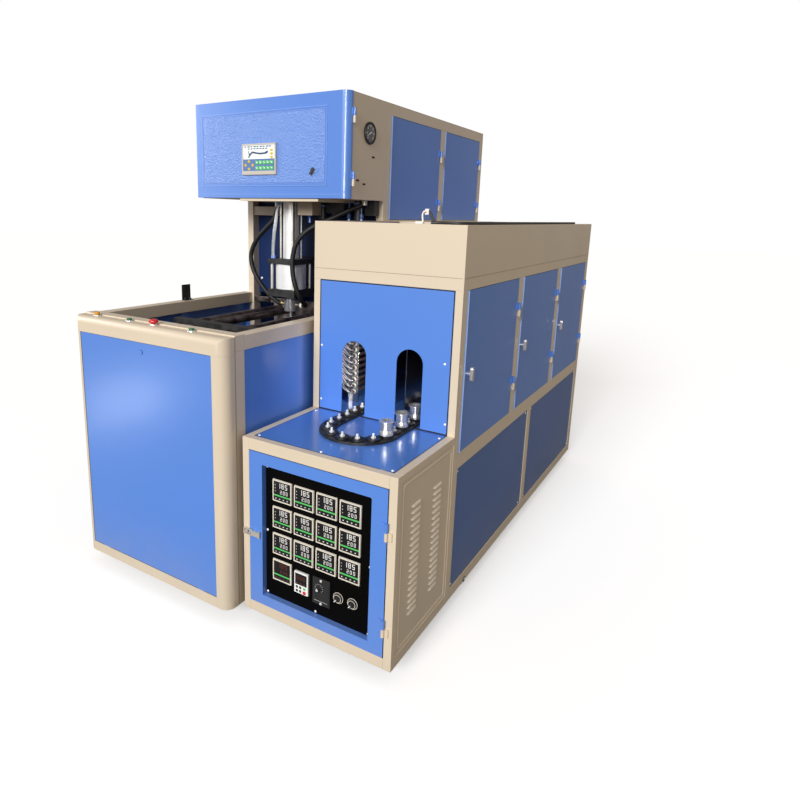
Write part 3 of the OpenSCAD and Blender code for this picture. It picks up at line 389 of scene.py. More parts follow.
class Paints:
    """All finishes of the set, each built once and looked up by name."""

    ROWS: tuple[Finish, ...] = (
        PowderCoat("cream_coat", (0.80, 0.67, 0.50), "cream", 0.42, 210.0, 0.08, 0.15),
        PowderCoat("blue_coat", (0.105, 0.27, 0.78), "blue", 0.36, 190.0, 0.10, 0.3),
        PowderCoat("door_coat", (0.105, 0.27, 0.78), "blue", 0.36, 190.0, 0.04, 0.5, 0.05),
        PowderCoat("table_coat", (0.088, 0.235, 0.69), "blue", 0.24, 190.0, 0.06, 0.35, 0.12),
        # The head door's field: a lighter copy of the door's blue, painted sheen, with its coarse grain as a real
        # bump.
        PowderCoat("blue_field_sheen_coat", (0.15, 0.31, 0.80), "blue", 0.33, 100.0, 1.0, 0.6, 0.12, 0.006),
        # Lighter blue for door edges and the head door's stepped lines: painted highlight.
        PowderCoat("blue_edge_highlight", (0.30, 0.46, 0.90), "blue", 0.4, 190.0, 0.05),
        # Darker blue for the lower part of the heater's right side panels: painted shade.
        PowderCoat("low_coat", (0.055, 0.15, 0.44), "blue", 0.40, 190.0, 0.08, 0.2),
        # Lighter cream than cream_coat for the pressed louvres: painted highlight on their lit tops.
        PowderCoat("louvre_lit_coat", (0.95, 0.84, 0.68), "cream", 0.42, 210.0, 0.06, 0.15),
        PowderCoat("shaded_cream_coat", (0.40, 0.32, 0.23), "cream", 0.5, 210.0, 0.08, 0.15),
        BlackPlate("black_plate", (0.008, 0.0075, 0.0075), "black_steel", 0.5, (0.03, 0.03, 0.03)),
        BlackPlate("tie_bar_black", (0.035, 0.028, 0.028), "black_steel", 0.3, (0.15, 0.115, 0.11), 0.6),
        BlackPlate("worn_plate", (0.10, 0.075, 0.07), "black_steel", 0.4, (0.30, 0.25, 0.23), 0.6),
        BlackPlate("chain_black", (0.012, 0.012, 0.013), "chain", 0.35, (0.05, 0.05, 0.05), 0.5),
        BareMetal("turned_steel", (0.78, 0.78, 0.79), "silver", 0.24, 0.06, 0.08, 0.8),
        BareMetal("stud_steel", (0.92, 0.92, 0.92), "silver", 0.28, 0.03, 0.05, 0.45),
        BareMetal("anodised_barrel", (0.90, 0.89, 0.88), "barrel", 0.42, 0.10, 0.04, 0.25),
        BareMetal("zinc_plate", (0.74, 0.70, 0.61), "zinc", 0.40, 0.08, 0.22, 0.55),
        BareMetal("polished_reflector", (0.66, 0.66, 0.67), "reflector", 0.20, 0.06, 0.2),
        BareMetal("nozzle_steel", (0.45, 0.45, 0.47), "silver", 0.18, 0.03, 0.1, 0.7),
        BareMetal("bright_screw", (0.93, 0.93, 0.92), "zinc", 0.35, 0.02, 0.05, 0.35),
        BareMetal("brass", (0.80, 0.60, 0.28), "silver", 0.28, 0.04, 0.15),
        Moulded("ceramic_white", (0.84, 0.82, 0.77), "ceramic", 0.35, 300.0, 0.06),
        Moulded("matte_black", (0.014, 0.014, 0.015), "black_plastic", 0.5),
        # Dark navy of the wall behind the blowing space: partly the wall's own paint, partly painted shade.
        Moulded("navy_coat", (0.008, 0.022, 0.085), "dark_blue", 0.6, 190.0, 0.06, 0.1),
        # Near-black strips in joints and side slots: painted shade.
        Moulded("gap_shade_dark", (0.02, 0.021, 0.03), "black_plastic", 0.7, 500.0, 0.02, 0.2),
        Moulded("panel_black", (0.001, 0.0008, 0.0008), "panel_black", 0.55, 500.0, 0.05, 0.05),
        Moulded("bezel_grey", (0.72, 0.66, 0.56), "grey_plastic", 0.42, 500.0, 0.06),
        Moulded("screen_rim", (0.54, 0.50, 0.44), "grey_plastic", 0.40, 500.0, 0.06),
        Moulded("face_dark", (0.010, 0.010, 0.011), "panel_black", 0.30, 500.0, 0.02, 0.3),
        Moulded("dial_grey", (0.13, 0.13, 0.13), "grey_plastic", 0.3, 500.0, 0.03),
        Moulded("keypad_white", (0.78, 0.78, 0.76), "grey_plastic", 0.38, 500.0, 0.05),
        Moulded("red_cap", (0.62, 0.012, 0.02), "red_plastic", 0.28, 300.0, 0.04),
        Moulded("amber_cap", (0.70, 0.33, 0.02), "amber_plastic", 0.28, 300.0, 0.04),
        Moulded("green_cap", (0.02, 0.16, 0.06), "green_plastic", 0.30, 300.0, 0.04),
        Moulded("hose_rubber", (0.009, 0.0085, 0.0085), "rubber", 0.5, 260.0, 0.2, 0.3),
        Moulded("wheel_rubber", (0.03, 0.03, 0.032), "tread", 0.6, 260.0, 0.25),
        Moulded("fitting_blue", (0.16, 0.27, 0.68), "blue", 0.3, 400.0, 0.04),
        Moulded("bowl_blue", (0.02, 0.11, 0.55), "blue", 0.2, 400.0, 0.02),
        Moulded("lamp_frosted", (0.11, 0.065, 0.055), "ceramic", 0.3, 300.0, 0.05),
        ClearTube("clear_tube", (0.80, 0.84, 0.88), "clear_tube", 0.18),
        Lit("digit_white", (0.80, 0.78, 0.75), "grey_plastic", 0.3, 0.22),
        Lit("digit_red", (0.16, 0.045, 0.03), "grey_plastic", 0.3, 0.05),
        Lit("bar_green", (0.10, 0.58, 0.14), "green_plastic", 0.35, 0.12),
        Lit("screen_field", (0.80, 0.84, 0.86), "grey_plastic", 0.25, 0.35),
        Lit("screen_green", (0.07, 0.46, 0.10), "green_plastic", 0.25, 0.25),
        Lit("screen_yellow", (0.72, 0.50, 0.0), "amber_plastic", 0.25, 0.2),
        Lit("screen_blue", (0.11, 0.20, 0.42), "grey_plastic", 0.25, 0.15),
        Lit("screen_ink", (0.05, 0.08, 0.16), "panel_black", 0.25, 0.02),
    )

    @classmethod
    def row(cls, name: str) -> Finish:
        """Return a finish by its name."""
        return next(row for row in cls.ROWS if row.name == name)

    @staticmethod
    @cache
    def get(name: str) -> bpy.types.Material:
        """Return a material by its finish's name, building it at its first use."""
        return Paints.row(name).build()

    @classmethod
    def slot(cls, name: str) -> str:
        """Return the record's slot of a finish."""
        return cls.row(name).slot


# ---------------------------------------------------------------- shapes in mesh code


def arc(u: float, v: float, radius: float, angles: Iterable[float]) -> list[Flat]:
    """Return points round a centre, at angles from the first axis."""
    return [(u + radius * math.cos(a), v + radius * math.sin(a)) for a in angles]


def ray(u: float, v: float, angle: float, inner: float, outer: float, half: float,
        tip: float | None = None) -> list[Flat]:
    """Return the outline of a straight mark that points away from a centre.

    Args:
        u, v: The centre.
        angle: Its direction in degrees, clockwise from the second axis.
        inner, outer: Where it starts and ends.
        half: Half its width.
        tip: Half its width at the outer end, where that differs.

    Returns:
        Its four corners.
    """
    a = math.radians(angle)
    tip = half if tip is None else tip
    return [(u + r * math.sin(a) + t * math.cos(a), v + r * math.cos(a) - t * math.sin(a))
            for r, t in ((inner, -half), (outer, -tip), (outer, tip), (inner, half))]


def border(x0: float, x1: float, z0: float, z1: float, gap: float, wide: float, high: float,
           low: float) -> tuple[tuple[float, float, float, float], ...]:
    """Return the four bars of a raised border as (left, right, bottom, top).

    Args:
        x0, x1, z0, z1: The outline that it lies in.
        gap: How far it lies inside.
        wide: Where the upright bars end, from the outline.
        high, low: Where the top and bottom bars end, from the outline.

    Returns:
        The top, bottom, left and right bars, 0.2 mm apart.
    """
    z2, z3 = z0 + low + 0.2, z1 - high - 0.2
    return ((x0 + gap, x1 - gap, z1 - high, z1 - gap), (x0 + gap, x1 - gap, z0 + gap, z0 + low),
            (x0 + gap, x0 + wide, z2, z3), (x1 - wide, x1 - gap, z2, z3))


def rounded(x0: float, x1: float, z0: float, z1: float, radius: float, steps: int = 4) -> list[Flat]:
    """Return a rectangle's outline with round corners.

    Args:
        x0, x1, z0, z1: Its limits.
        radius: The corner radius.
        steps: Faces in each corner.

    Returns:
        The corners, anticlockwise.
    """
    points: list[Flat] = []
    for u, v, start in ((x1 - radius, z1 - radius, 0), (x0 + radius, z1 - radius, 90),
                        (x0 + radius, z0 + radius, 180), (x1 - radius, z0 + radius, 270)):
        points += arc(u, v, radius, (math.radians(start + 90 * k / steps) for k in range(steps + 1)))
    return points


def smooth_path(points: Sequence[Point], steps: int = 6) -> list[Vector]:
    """Return a Catmull-Rom curve through points, with a number of steps for each stretch."""
    p = [Vector(q) for q in points]
    p = [2 * p[0] - p[1], *p, 2 * p[-1] - p[-2]]
    path = []
    for k in range(1, len(p) - 2):
        a, b, c, d = p[k - 1:k + 3]
        for t in (n / steps for n in range(steps)):
            path.append(0.5 * (2 * b + (c - a) * t + (2 * a - 5 * b + 4 * c - d) * t * t
                               + (3 * b - a - 3 * c + d) * t * t * t))
    path.append(p[-2])
    return path


def points_mesh(points: Iterable[Point]) -> Mesh:
    """Return a mesh of loose points in the frame, from millimetres."""
    mesh = bpy.data.meshes.new("points")
    mesh.from_pydata([place(*p) for p in points], [], [])
    return mesh


def lines_mesh(paths: Sequence[Sequence[Point]]) -> Mesh:
    """Return a mesh of polylines in the frame, from millimetres."""
    verts: list[Vector] = []
    edges: list[tuple[int, int]] = []
    for path in paths:
        first = len(verts)
        verts.extend(place(*p) for p in path)
        edges.extend((first + k, first + k + 1) for k in range(len(path) - 1))
    mesh = bpy.data.meshes.new("lines")
    mesh.from_pydata(verts, edges, [])
    return mesh


def plain(carrier: bpy.types.Object, name: str) -> Mesh:
    """Return the plain mesh that an object's modifiers make, and delete the object."""
    graph = bpy.context.evaluated_depsgraph_get()
    result = bpy.data.meshes.new_from_object(carrier.evaluated_get(graph), depsgraph=graph)
    result.name = name
    bpy.data.objects.remove(carrier)
    return result


class Shape:
    """A mesh being built in millimetres, then placed in the frame as one piece."""

    def __init__(self) -> None:
        """Start with an empty mesh."""
        self.bm = bmesh.new()

    def ring(self, points: Iterable[Point]) -> list[bmesh.types.BMVert]:
        """Add corners, and return them."""
        return [self.bm.verts.new(p) for p in points]

    def round_edges(self, parts: Iterable[bmesh.types.BMVert | bmesh.types.BMFace], radius: float) -> None:
        """Round all edges of the given corners or faces."""
        edges = list({e for part in parts for e in (part.edges if hasattr(part, "edges") else part.link_edges)})
        bmesh.ops.bevel(self.bm, geom=edges, offset=radius, segments=2, profile=0.5, affect="EDGES",
                        clamp_overlap=True)

    def box(self, x0: float, x1: float, y0: float, y1: float, z0: float, z1: float, bevel: float = 0.0) -> Shape:
        """Add a block between limits, with rounded edges of the given radius, and return this shape."""
        size = Matrix.Diagonal((x1 - x0, y1 - y0, z1 - z0, 1))
        move = Matrix.Translation(((x0 + x1) / 2, (y0 + y1) / 2, (z0 + z1) / 2))
        made = bmesh.ops.create_cube(self.bm, size=1, matrix=move @ size)["verts"]
        if bevel > 0:
            self.round_edges(made, bevel)
        return self

    def lathe(self, axis: Axis, centre: Point, profile: Sequence[Flat], sides: int = 32) -> Shape:
        """Turn a profile round an axis, closed at both ends.

        Args:
            axis: The axis direction.
            centre: Where height 0 lies.
            profile: (radius, height) from one end to the other; a last point like the first makes a closed ring.
            sides: Faces round the axis.

        Returns:
            This shape.
        """
        move = Matrix.Translation(centre) @ axis.frame()
        angles = [2 * math.pi * k / sides for k in range(sides)]
        closed = profile[0] == profile[-1]
        rings = []
        for radius, height in profile[:-1] if closed else profile:
            around = arc(0, 0, radius, angles) if radius > 1e-6 else [(0, 0)]
            rings.append(self.ring(move @ Vector((u, v, height)) for u, v in around))
        made = []
        for low, high in zip(rings, rings[1:] + (rings[:1] if closed else [])):
            for k in range(sides):
                corners = dict.fromkeys((low[k % len(low)], low[(k + 1) % len(low)],
                                         high[(k + 1) % len(high)], high[k % len(high)]))
                if len(corners) > 2:
                    made.append(self.bm.faces.new(list(corners)))
        if not closed:
            made += [self.bm.faces.new(end) for end in (rings[0][::-1], rings[-1]) if len(end) > 1]
        bmesh.ops.recalc_face_normals(self.bm, faces=made)
        return self

    def prism(self, axis: Axis, low: float, high: float, outline: Sequence[Flat], bevel: float = 0.0) -> Shape:
        """Draw a flat outline along an axis.

        Args:
            axis: The drawing direction.
            low, high: Where it starts and ends.
            outline: Corners; (y, z) along X, (x, z) along Y and (x, y) along Z.
            bevel: Radius of all edges.

        Returns:
            This shape.
        """
        made = self.skin([self.ring(axis.spot(at, a, b) for a, b in outline) for at in (low, high)])
        if bevel > 0:
            self.round_edges(made, bevel)
        return self

    def skin(self, rings: Sequence[Sequence[bmesh.types.BMVert]], around: bool = False) -> list[bmesh.types.BMFace]:
        """Join rings of as many corners each into one closed skin.

        Args:
            rings: The rings, in order.
            around: True to join the last to the first, in place of a cap at each end.

        Returns:
            Its faces, turned outward.
        """
        made = [] if around else [self.bm.faces.new(rings[0]), self.bm.faces.new(rings[-1])]
        for low, high in zip(rings, [*rings[1:], *(rings[:1] if around else ())]):
            for k in range(len(low)):
                n = (k + 1) % len(low)
                made.append(self.bm.faces.new([low[k], low[n], high[n], high[k]]))
        bmesh.ops.recalc_face_normals(self.bm, faces=made)
        return made

    def frame(self, axis: Axis, low: float, high: float, limits: tuple[float, ...], width: float) -> Shape:
        """Add four thin strips round a rectangle on a face.

        Args:
            axis: The face's normal.
            low, high: The strips' limits along it.
            limits: The rectangle's limits, in the order X, Y, Z without the normal.
            width: The strips' width.

        Returns:
            This shape.
        """
        a, b, c, d = limits
        for p, q, r, t in ((a, b, c, c + width), (a, b, d - width, d), (a, a + width, c + width, d - width),
                           (b - width, b, c + width, d - width)):
            (x0, y0, z0), (x1, y1, z1) = axis.spot(low, p, r), axis.spot(high, q, t)
            self.box(x0, x1, y0, y1, z0, z1)
        return self

    def tube(self, path: Sequence[Point], radius: float, sides: int = 12) -> Shape:
        """Add a round tube of some sides along a centre line, closed at both ends, and return this shape."""
        points = [Vector(p) for p in path]
        rings, side = [], None
        for k, point in enumerate(points):
            along = (points[min(k + 1, len(points) - 1)] - points[max(k - 1, 0)]).normalized()
            if side is None:
                side = along.orthogonal().normalized()
            side = (side - along * side.dot(along)).normalized()
            other = along.cross(side)
            rings.append(self.ring(point + radius * (math.cos(a) * side + math.sin(a) * other)
                                   for a in (2 * math.pi * n / sides for n in range(sides))))
        self.skin(rings)
        return self

    def mesh(self, name: str, smooth: float = 32.0) -> Mesh:
        """Return the mesh in the frame's metres; edges flatter than some degrees are shaded smooth."""
        move = Matrix.Diagonal((0.001, 0.001, 0.001, 1)) @ Matrix.Translation((-MIDDLE_X, -MIDDLE_Y, 0))
        bmesh.ops.transform(self.bm, matrix=move, verts=self.bm.verts)
        mesh = bpy.data.meshes.new(name)
        self.bm.to_mesh(mesh)
        self.bm.free()
        mesh.shade_smooth()
        mesh.set_sharp_from_angle(angle=math.radians(smooth))
        return mesh


# ---------------------------------------------------------------- geometry nodes


class Repeats:
    """Geometry node trees for whatever repeats or follows a path."""

    @staticmethod
    def _new(name: str, inputs: Sequence[tuple[str, str, object]]) -> tuple[Graph, bpy.types.NodeOutputs, Node]:
        """Return a new geometry graph with its inputs, the sockets of its entry, and its exit."""
        graph, entry, leave = Graph.group(
            name, "Geometry", (("Geometry", "Geometry", None), *inputs, ("Finish", "Material", None)),
            (("Geometry", "Geometry"),))
        return graph, entry.outputs, leave

    @staticmethod
    def _close(graph: Graph, given: bpy.types.NodeOutputs, leave: Node, made: Socket) -> Tree:
        """End a tree: realize the copies and set their finish."""
        real = graph.node("GeometryNodeRealizeInstances", {"Geometry": made})
        paint = graph.node("GeometryNodeSetMaterial", {"Geometry": real.outputs["Geometry"],
                                                       "Material": given["Finish"]})
        graph.set(leave, {"Geometry": paint.outputs["Geometry"]})
        return graph.tree

    @staticmethod
    @cache
    def lattice() -> Tree:
        """Return the tree that copies the given unit in rows and columns."""
        graph, given, leave = Repeats._new("rows_and_columns", (
            ("Columns", "Int", 2), ("Column Step", "Vector", (0.1, 0, 0)),
            ("Rows", "Int", 2), ("Row Step", "Vector", (0, 0, 0.1))))
        made = given["Geometry"]
        for count, step in (("Columns", "Column Step"), ("Rows", "Row Step")):
            line = graph.node("GeometryNodeMeshLine", {"Count": given[count], "Offset": given[step]}, mode="OFFSET")
            made = graph.node("GeometryNodeInstanceOnPoints", {
                "Points": line.outputs["Mesh"], "Instance": made}).outputs["Instances"]
        return Repeats._close(graph, given, leave, made)

    @staticmethod
    @cache
    def screws() -> Tree:
        """Return the tree that sets a domed screw head on every given point, turned to face an axis."""
        graph, given, leave = Repeats._new("domed_screws", (
            ("Radius", "Float", 0.006), ("Height", "Float", 0.003), ("Turn", "Vector", FACES_UP)))
        dome = graph.node("GeometryNodeMeshUVSphere", {"Segments": 12, "Rings": 8, "Radius": 1.0})
        scale = graph.node("ShaderNodeCombineXYZ", {"X": given["Radius"], "Y": given["Radius"],
                                                    "Z": given["Height"]})
        flat = graph.node("GeometryNodeTransform", {"Geometry": dome.outputs["Mesh"],
                                                    "Scale": scale.outputs["Vector"]})
        turn = graph.node("FunctionNodeEulerToRotation", {"Euler": given["Turn"]})
        copies = graph.node("GeometryNodeInstanceOnPoints", {
            "Points": given["Geometry"], "Instance": flat.outputs["Geometry"], "Rotation": turn.outputs["Rotation"]})
        return Repeats._close(graph, given, leave, copies.outputs["Instances"])

    @staticmethod
    @cache
    def wires() -> Tree:
        """Return the tree that makes a round wire along every given polyline."""
        graph, given, leave = Repeats._new("round_wires", (("Radius", "Float", 0.002), ("Sides", "Int", 8)))
        curve = graph.node("GeometryNodeMeshToCurve", {"Mesh": given["Geometry"]})
        ring = graph.node("GeometryNodeCurvePrimitiveCircle", {"Radius": given["Radius"],
                                                               "Resolution": given["Sides"]})
        body = graph.node("GeometryNodeCurveToMesh", {
            "Curve": curve.outputs["Curve"], "Profile Curve": ring.outputs["Curve"], "Fill Caps": True})
        smooth = graph.node("GeometryNodeSetShadeSmooth", {"Geometry": body.outputs["Mesh"]})
        return Repeats._close(graph, given, leave, smooth.outputs["Geometry"])

    @staticmethod
    def apply(name: str, mesh: Mesh, tree: Tree, **values: object) -> Mesh:
        """Run a tree on a mesh and return the plain mesh that it makes.

        Args:
            name: The result's name.
            mesh: What goes in.
            tree: The geometry tree.
            **values: Its inputs; an underscore stands for a space.

        Returns:
            The resulting mesh.
        """
        carrier = link(name + "_carrier", mesh)
        modifier = carrier.modifiers.new("repeat", "NODES")
        modifier.node_group = tree
        sockets = {s.name: s.identifier for s in tree.interface.items_tree
                   if s.item_type == "SOCKET" and s.in_out == "INPUT"}
        for label, value in values.items():
            modifier[sockets[label.replace("_", " ")]] = value
        return plain(carrier, name)


class Workshop:
    """Puts finished pieces in the scene: gives them a finish and a body."""

    def __init__(self, frame: dict) -> None:
        """Keep the frame that pieces ride on."""
        self.frame = frame
        self.count = 0

    def add(self, name: str, mesh: Mesh, finish: str, body: str = "machine",
            stands_for: Sequence[str] = ()) -> None:
        """Make one piece of a mesh.

        Args:
            name: The piece's name.
            mesh: Its mesh, in place.
            finish: The name of its finish.
            body: The body that it rides on.
            stands_for: Nodes of the frame that it replaces.
        """
        piece = link(name, mesh)
        if not mesh.materials:
            mesh.materials.append(Paints.get(finish))
        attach(piece, body)
        Paints.slot(finish)
        if stands_for:
            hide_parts(*stands_for)
        self.count += 1
        LOG.info("piece %s on %s", name, body)

    def shape(self, name: str, shape: Shape, finish: str, body: str = "machine",
              stands_for: Sequence[str] = (), smooth: float = 32.0) -> None:
        """Make one piece of a shape; see `add`."""
        self.add(name, self.weighted(shape.mesh(name, smooth)), finish, body, stands_for)

    def repeat(self, name: str, mesh: Mesh, tree: Tree, finish: str, body: str = "machine",
               stands_for: Sequence[str] = (), **values: object) -> None:
        """Make one piece of what a tree makes of a mesh; see `Repeats.apply` and `add`."""
        made = Repeats.apply(name, mesh, tree, Finish=Paints.get(finish), **values)
        self.add(name, made, finish, body, stands_for)

    def grid(self, name: str, unit: Shape, finish: str, columns: tuple[int, Point], rows: tuple[int, Point],
             body: str = "machine", stands_for: Sequence[str] = ()) -> None:
        """Make one piece of a unit copied in columns and rows, each a count and a step in millimetres."""
        (across, step), (up, rise) = columns, rows
        self.repeat(name, unit.mesh(name + "_unit"), Repeats.lattice(), finish, body, stands_for, Columns=across,
                    Column_Step=tuple(v / 1000 for v in step), Rows=up, Row_Step=tuple(v / 1000 for v in rise))

    def screws(self, name: str, points: Iterable[Point], turn: Point, radius: float = 5.6, height: float = 3.0,
               body: str = "machine") -> None:
        """Make one piece of domed screw heads on points, turned to face one way; sizes in millimetres."""
        self.repeat(name, points_mesh(points), Repeats.screws(), "bright_screw", body, Radius=radius / 1000,
                    Height=height / 1000, Turn=turn)

    def wires(self, name: str, paths: Sequence[Sequence[Point]], radius: float, finish: str, sides: int = 8) -> None:
        """Make one piece of round wires along paths; the radius is in millimetres."""
        self.repeat(name, lines_mesh(paths), Repeats.wires(), finish, Radius=radius / 1000, Sides=sides)

    def soften(self, node: str, finish: str, width: float = 1.2,
               other: tuple[str, Callable[[Vector], bool]] | None = None) -> None:
        """Replace a node by a copy whose sharp edges are rounded.

        Args:
            node: The node's name.
            finish: The copy's finish.
            width: Radius of its edges in millimetres.
            other: A second finish, and the test of a face's centre, in millimetres, that asks for it.
        """
        source = self.frame["nodes"][node]
        bm = bmesh.new()
        bm.from_mesh(source.data)
        bmesh.ops.remove_doubles(bm, verts=bm.verts, dist=2e-5)
        bmesh.ops.dissolve_limit(bm, angle_limit=math.radians(1.0), verts=bm.verts, edges=bm.edges)
        sharp = [e for e in bm.edges if len(e.link_faces) == 2 and e.calc_face_angle(0) > math.radians(35)]
        bmesh.ops.bevel(bm, geom=sharp, offset=width / 1000, segments=2, profile=0.6, affect="EDGES",
                        clamp_overlap=True)
        mesh = bpy.data.meshes.new(node + "_rounded")
        mesh.materials.append(Paints.get(finish))
        if other:
            mesh.materials.append(Paints.get(other[0]))
            for face in bm.faces:
                c = face.calc_center_median() * 1000 + Vector((MIDDLE_X, MIDDLE_Y, 0))
                face.material_index = int(other[1](c))
        bm.to_mesh(mesh)
        bm.free()
        mesh.shade_smooth()
        mesh.set_sharp_from_angle(angle=math.radians(50))
        self.add(node + "_rounded", self.weighted(mesh), finish, source["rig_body"], (node,))

    def door_lip(self, body: str, x: float, y: float, low: float, high: float) -> None:
        """Make the folded front edge of a side door, from its face's X, its front edge and its height, in a lighter
        blue that is a painted highlight.
        """
        lip = Shape().prism(Axis.Z, low, high, ((x - 6, y), (x + 4.6, y), (x + 5.4, y + 1.2), (x - 0.4, y + 9),
                                                (x - 6, y + 9)))
        self.shape(body + "_lip", lip, "blue_edge_highlight", body)

    @staticmethod
    def weighted(mesh: Mesh) -> Mesh:
        """Return the mesh with normals that follow its large faces, so that only the rounded edges shade round."""
        carrier = link("carrier", mesh)
        modifier = carrier.modifiers.new("normals", "WEIGHTED_NORMAL")
        modifier.keep_sharp = True
        modifier.weight = 100
        return plain(carrier, mesh.name)


# ---------------------------------------------------------------- studio


@dataclass
class Studio:
    """Camera, lights and floor, all in metres in the frame."""

    camera_at: Point = (1.69516, -3.05394, 1.69734)
    right: Point = (0.84111535, 0.54045057, 0.02093206)
    up: Point = (-0.13192934, 0.16748436, 0.97700749)
    back: Point = (0.52451847, -0.82453755, 0.21217495)
    lens: float = 27.749
    shift: Flat = (0.06995, -0.06514)
    sun_from: Point = (0.01, -0.92, 0.38)
    sun_power: float = 2.8
    sun_width: float = 24.0
    fill_power: float = 12.0
    oven_power: float = 0.5
    glare_power: float = 60.0
    glares: tuple[tuple[str, Point, Point, float, float], ...] = (
        ("head_glare", (-3.6, -2.2, 2.5), (-0.36, -0.58, 2.0), 1.6, 1.0),
        ("tub_glare", (-2.37, -2.87, 0.1), (-0.6, -1.38, 0.5), 0.5, 0.09),
        ("edge_glare", (1.95, -4.1, 2.43), (0.12, -0.58, 2.0), 1.2, 1.8))
    world: float = 0.36
    floor_size: float = 40.0

    def camera(self) -> None:
        """Set the camera at the photograph's angle."""
        data = bpy.data.cameras.new("view")
        data.lens = self.lens
        data.sensor_width = 36
        data.shift_x, data.shift_y = self.shift
        data.clip_end = 120
        camera = link("view", data)
        camera.matrix_world = Matrix((*zip(self.right, self.up, self.back, self.camera_at), (0, 0, 0, 1)))
        bpy.context.scene.camera = camera

    def light(self, name: str, at: Point, target: Point, size: float, power: float,
              colour: Colour = (1, 1, 1)) -> bpy.types.Object:
        """Add a soft square light that the camera doesn't see.

        Args:
            name: Its name.
            at: Where it stands.
            target: What it points at.
            size: Side length.
            power: Watts.
            colour: Its colour.

        Returns:
            The light.
        """
        data = bpy.data.lights.new(name, "AREA")
        data.shape = "SQUARE"
        data.size = size
        data.energy = power
        data.color = colour
        lamp = link(name, data)
        lamp.location = at
        lamp.rotation_euler = (Vector(target) - Vector(at)).to_track_quat("-Z", "Y").to_euler()
        lamp.visible_camera = False
        return lamp

    def lights(self) -> None:
        """Add the soft key light from the front, three glares that only shine, and a warm fill."""
        data = bpy.data.lights.new("key", "SUN")
        data.energy = self.sun_power
        data.angle = math.radians(self.sun_width)
        data.color = (0.97, 0.985, 1.0)
        link("key", data).rotation_euler = Vector(self.sun_from).to_track_quat("Z", "Y").to_euler()
        self.light("oven_glow", (0.44, -0.775, 1.0), (0.225, -0.67, 1.0), 0.04, self.oven_power, (1.0, 0.95, 0.9))
        for name, at, target, size, share in self.glares:
            self.light(name, at, target, size, self.glare_power * share).visible_diffuse = False
        self.light("fill", (5.2, 0.2, 3.6), (0.2, 0.6, 1.3), 3.0, self.fill_power, (1.0, 0.9, 0.78))

    def surroundings(self) -> None:
        """Add the warm pale surroundings, which the camera sees as white."""
        world = bpy.data.worlds.new("surroundings")
        world.use_nodes = True
        graph = Graph(world.node_tree)
        around = graph.set(world.node_tree.nodes["Background"], {"Color": (1.0, 0.93, 0.86, 1),
                                                                 "Strength": self.world})
        seen = graph.node("ShaderNodeBackground", {"Color": (1, 1, 1, 1), "Strength": 1.0})
        graph.for_camera(seen.outputs["Background"], around.outputs["Background"], "World Output")
        bpy.context.scene.world = world
        bpy.context.scene.view_settings.view_transform = "Standard"

    def floor(self) -> None:
        """Lay the pale floor, which sends less light back up than the camera sees."""
        material = bpy.data.materials.new("pale_floor")
        material.use_nodes = True
        graph = Graph(material.node_tree)
        seen = graph.shader({"Base Color": (0.9, 0.9, 0.9, 1), "Roughness": 0.8, "Emission Color": (1, 1, 1, 1),
                             "Emission Strength": 0.42})
        bounce = graph.node("ShaderNodeBsdfDiffuse", {"Color": (0.34, 0.31, 0.28, 1)})
        graph.for_camera(seen.outputs["BSDF"], bounce.outputs["BSDF"], "Material Output")
        bm = bmesh.new()
        bmesh.ops.create_grid(bm, x_segments=2, y_segments=2, size=self.floor_size)
        mesh = bpy.data.meshes.new("floor")
        bm.to_mesh(mesh)
        bm.free()
        mesh.materials.append(material)
        link("floor", mesh)

    def build(self) -> None:
        """Set up everything round the object."""
        self.camera()
        self.lights()
        self.surroundings()
        self.floor()


# ---------------------------------------------------------------- cords


@dataclass(frozen=True)
class Cord:
    """One flexible cord: how it looks and lies, and its route in millimetres."""

    name: str
    node: str
    finish: str
    radius: float
    stiffness: str
    lay: str
    route: tuple[Point, ...]
    moving_end: str = ""
    sides: int = 14
    steps: int = 6

    def build(self) -> None:
        """Make the cord as a round tube; one with a moving end is left in place on no body, the others ride on the
        machine.
        """
        dense = smooth_path(self.route, self.steps)
        mesh = Shape().tube(dense, self.radius, self.sides).mesh(self.name, 60)
        mesh.materials.append(Paints.get(self.finish))
        piece = link(self.name, mesh)
        if self.moving_end:
            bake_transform(piece)
        else:
            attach(piece, "machine")
        Paints.slot(self.finish)
        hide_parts(self.node)


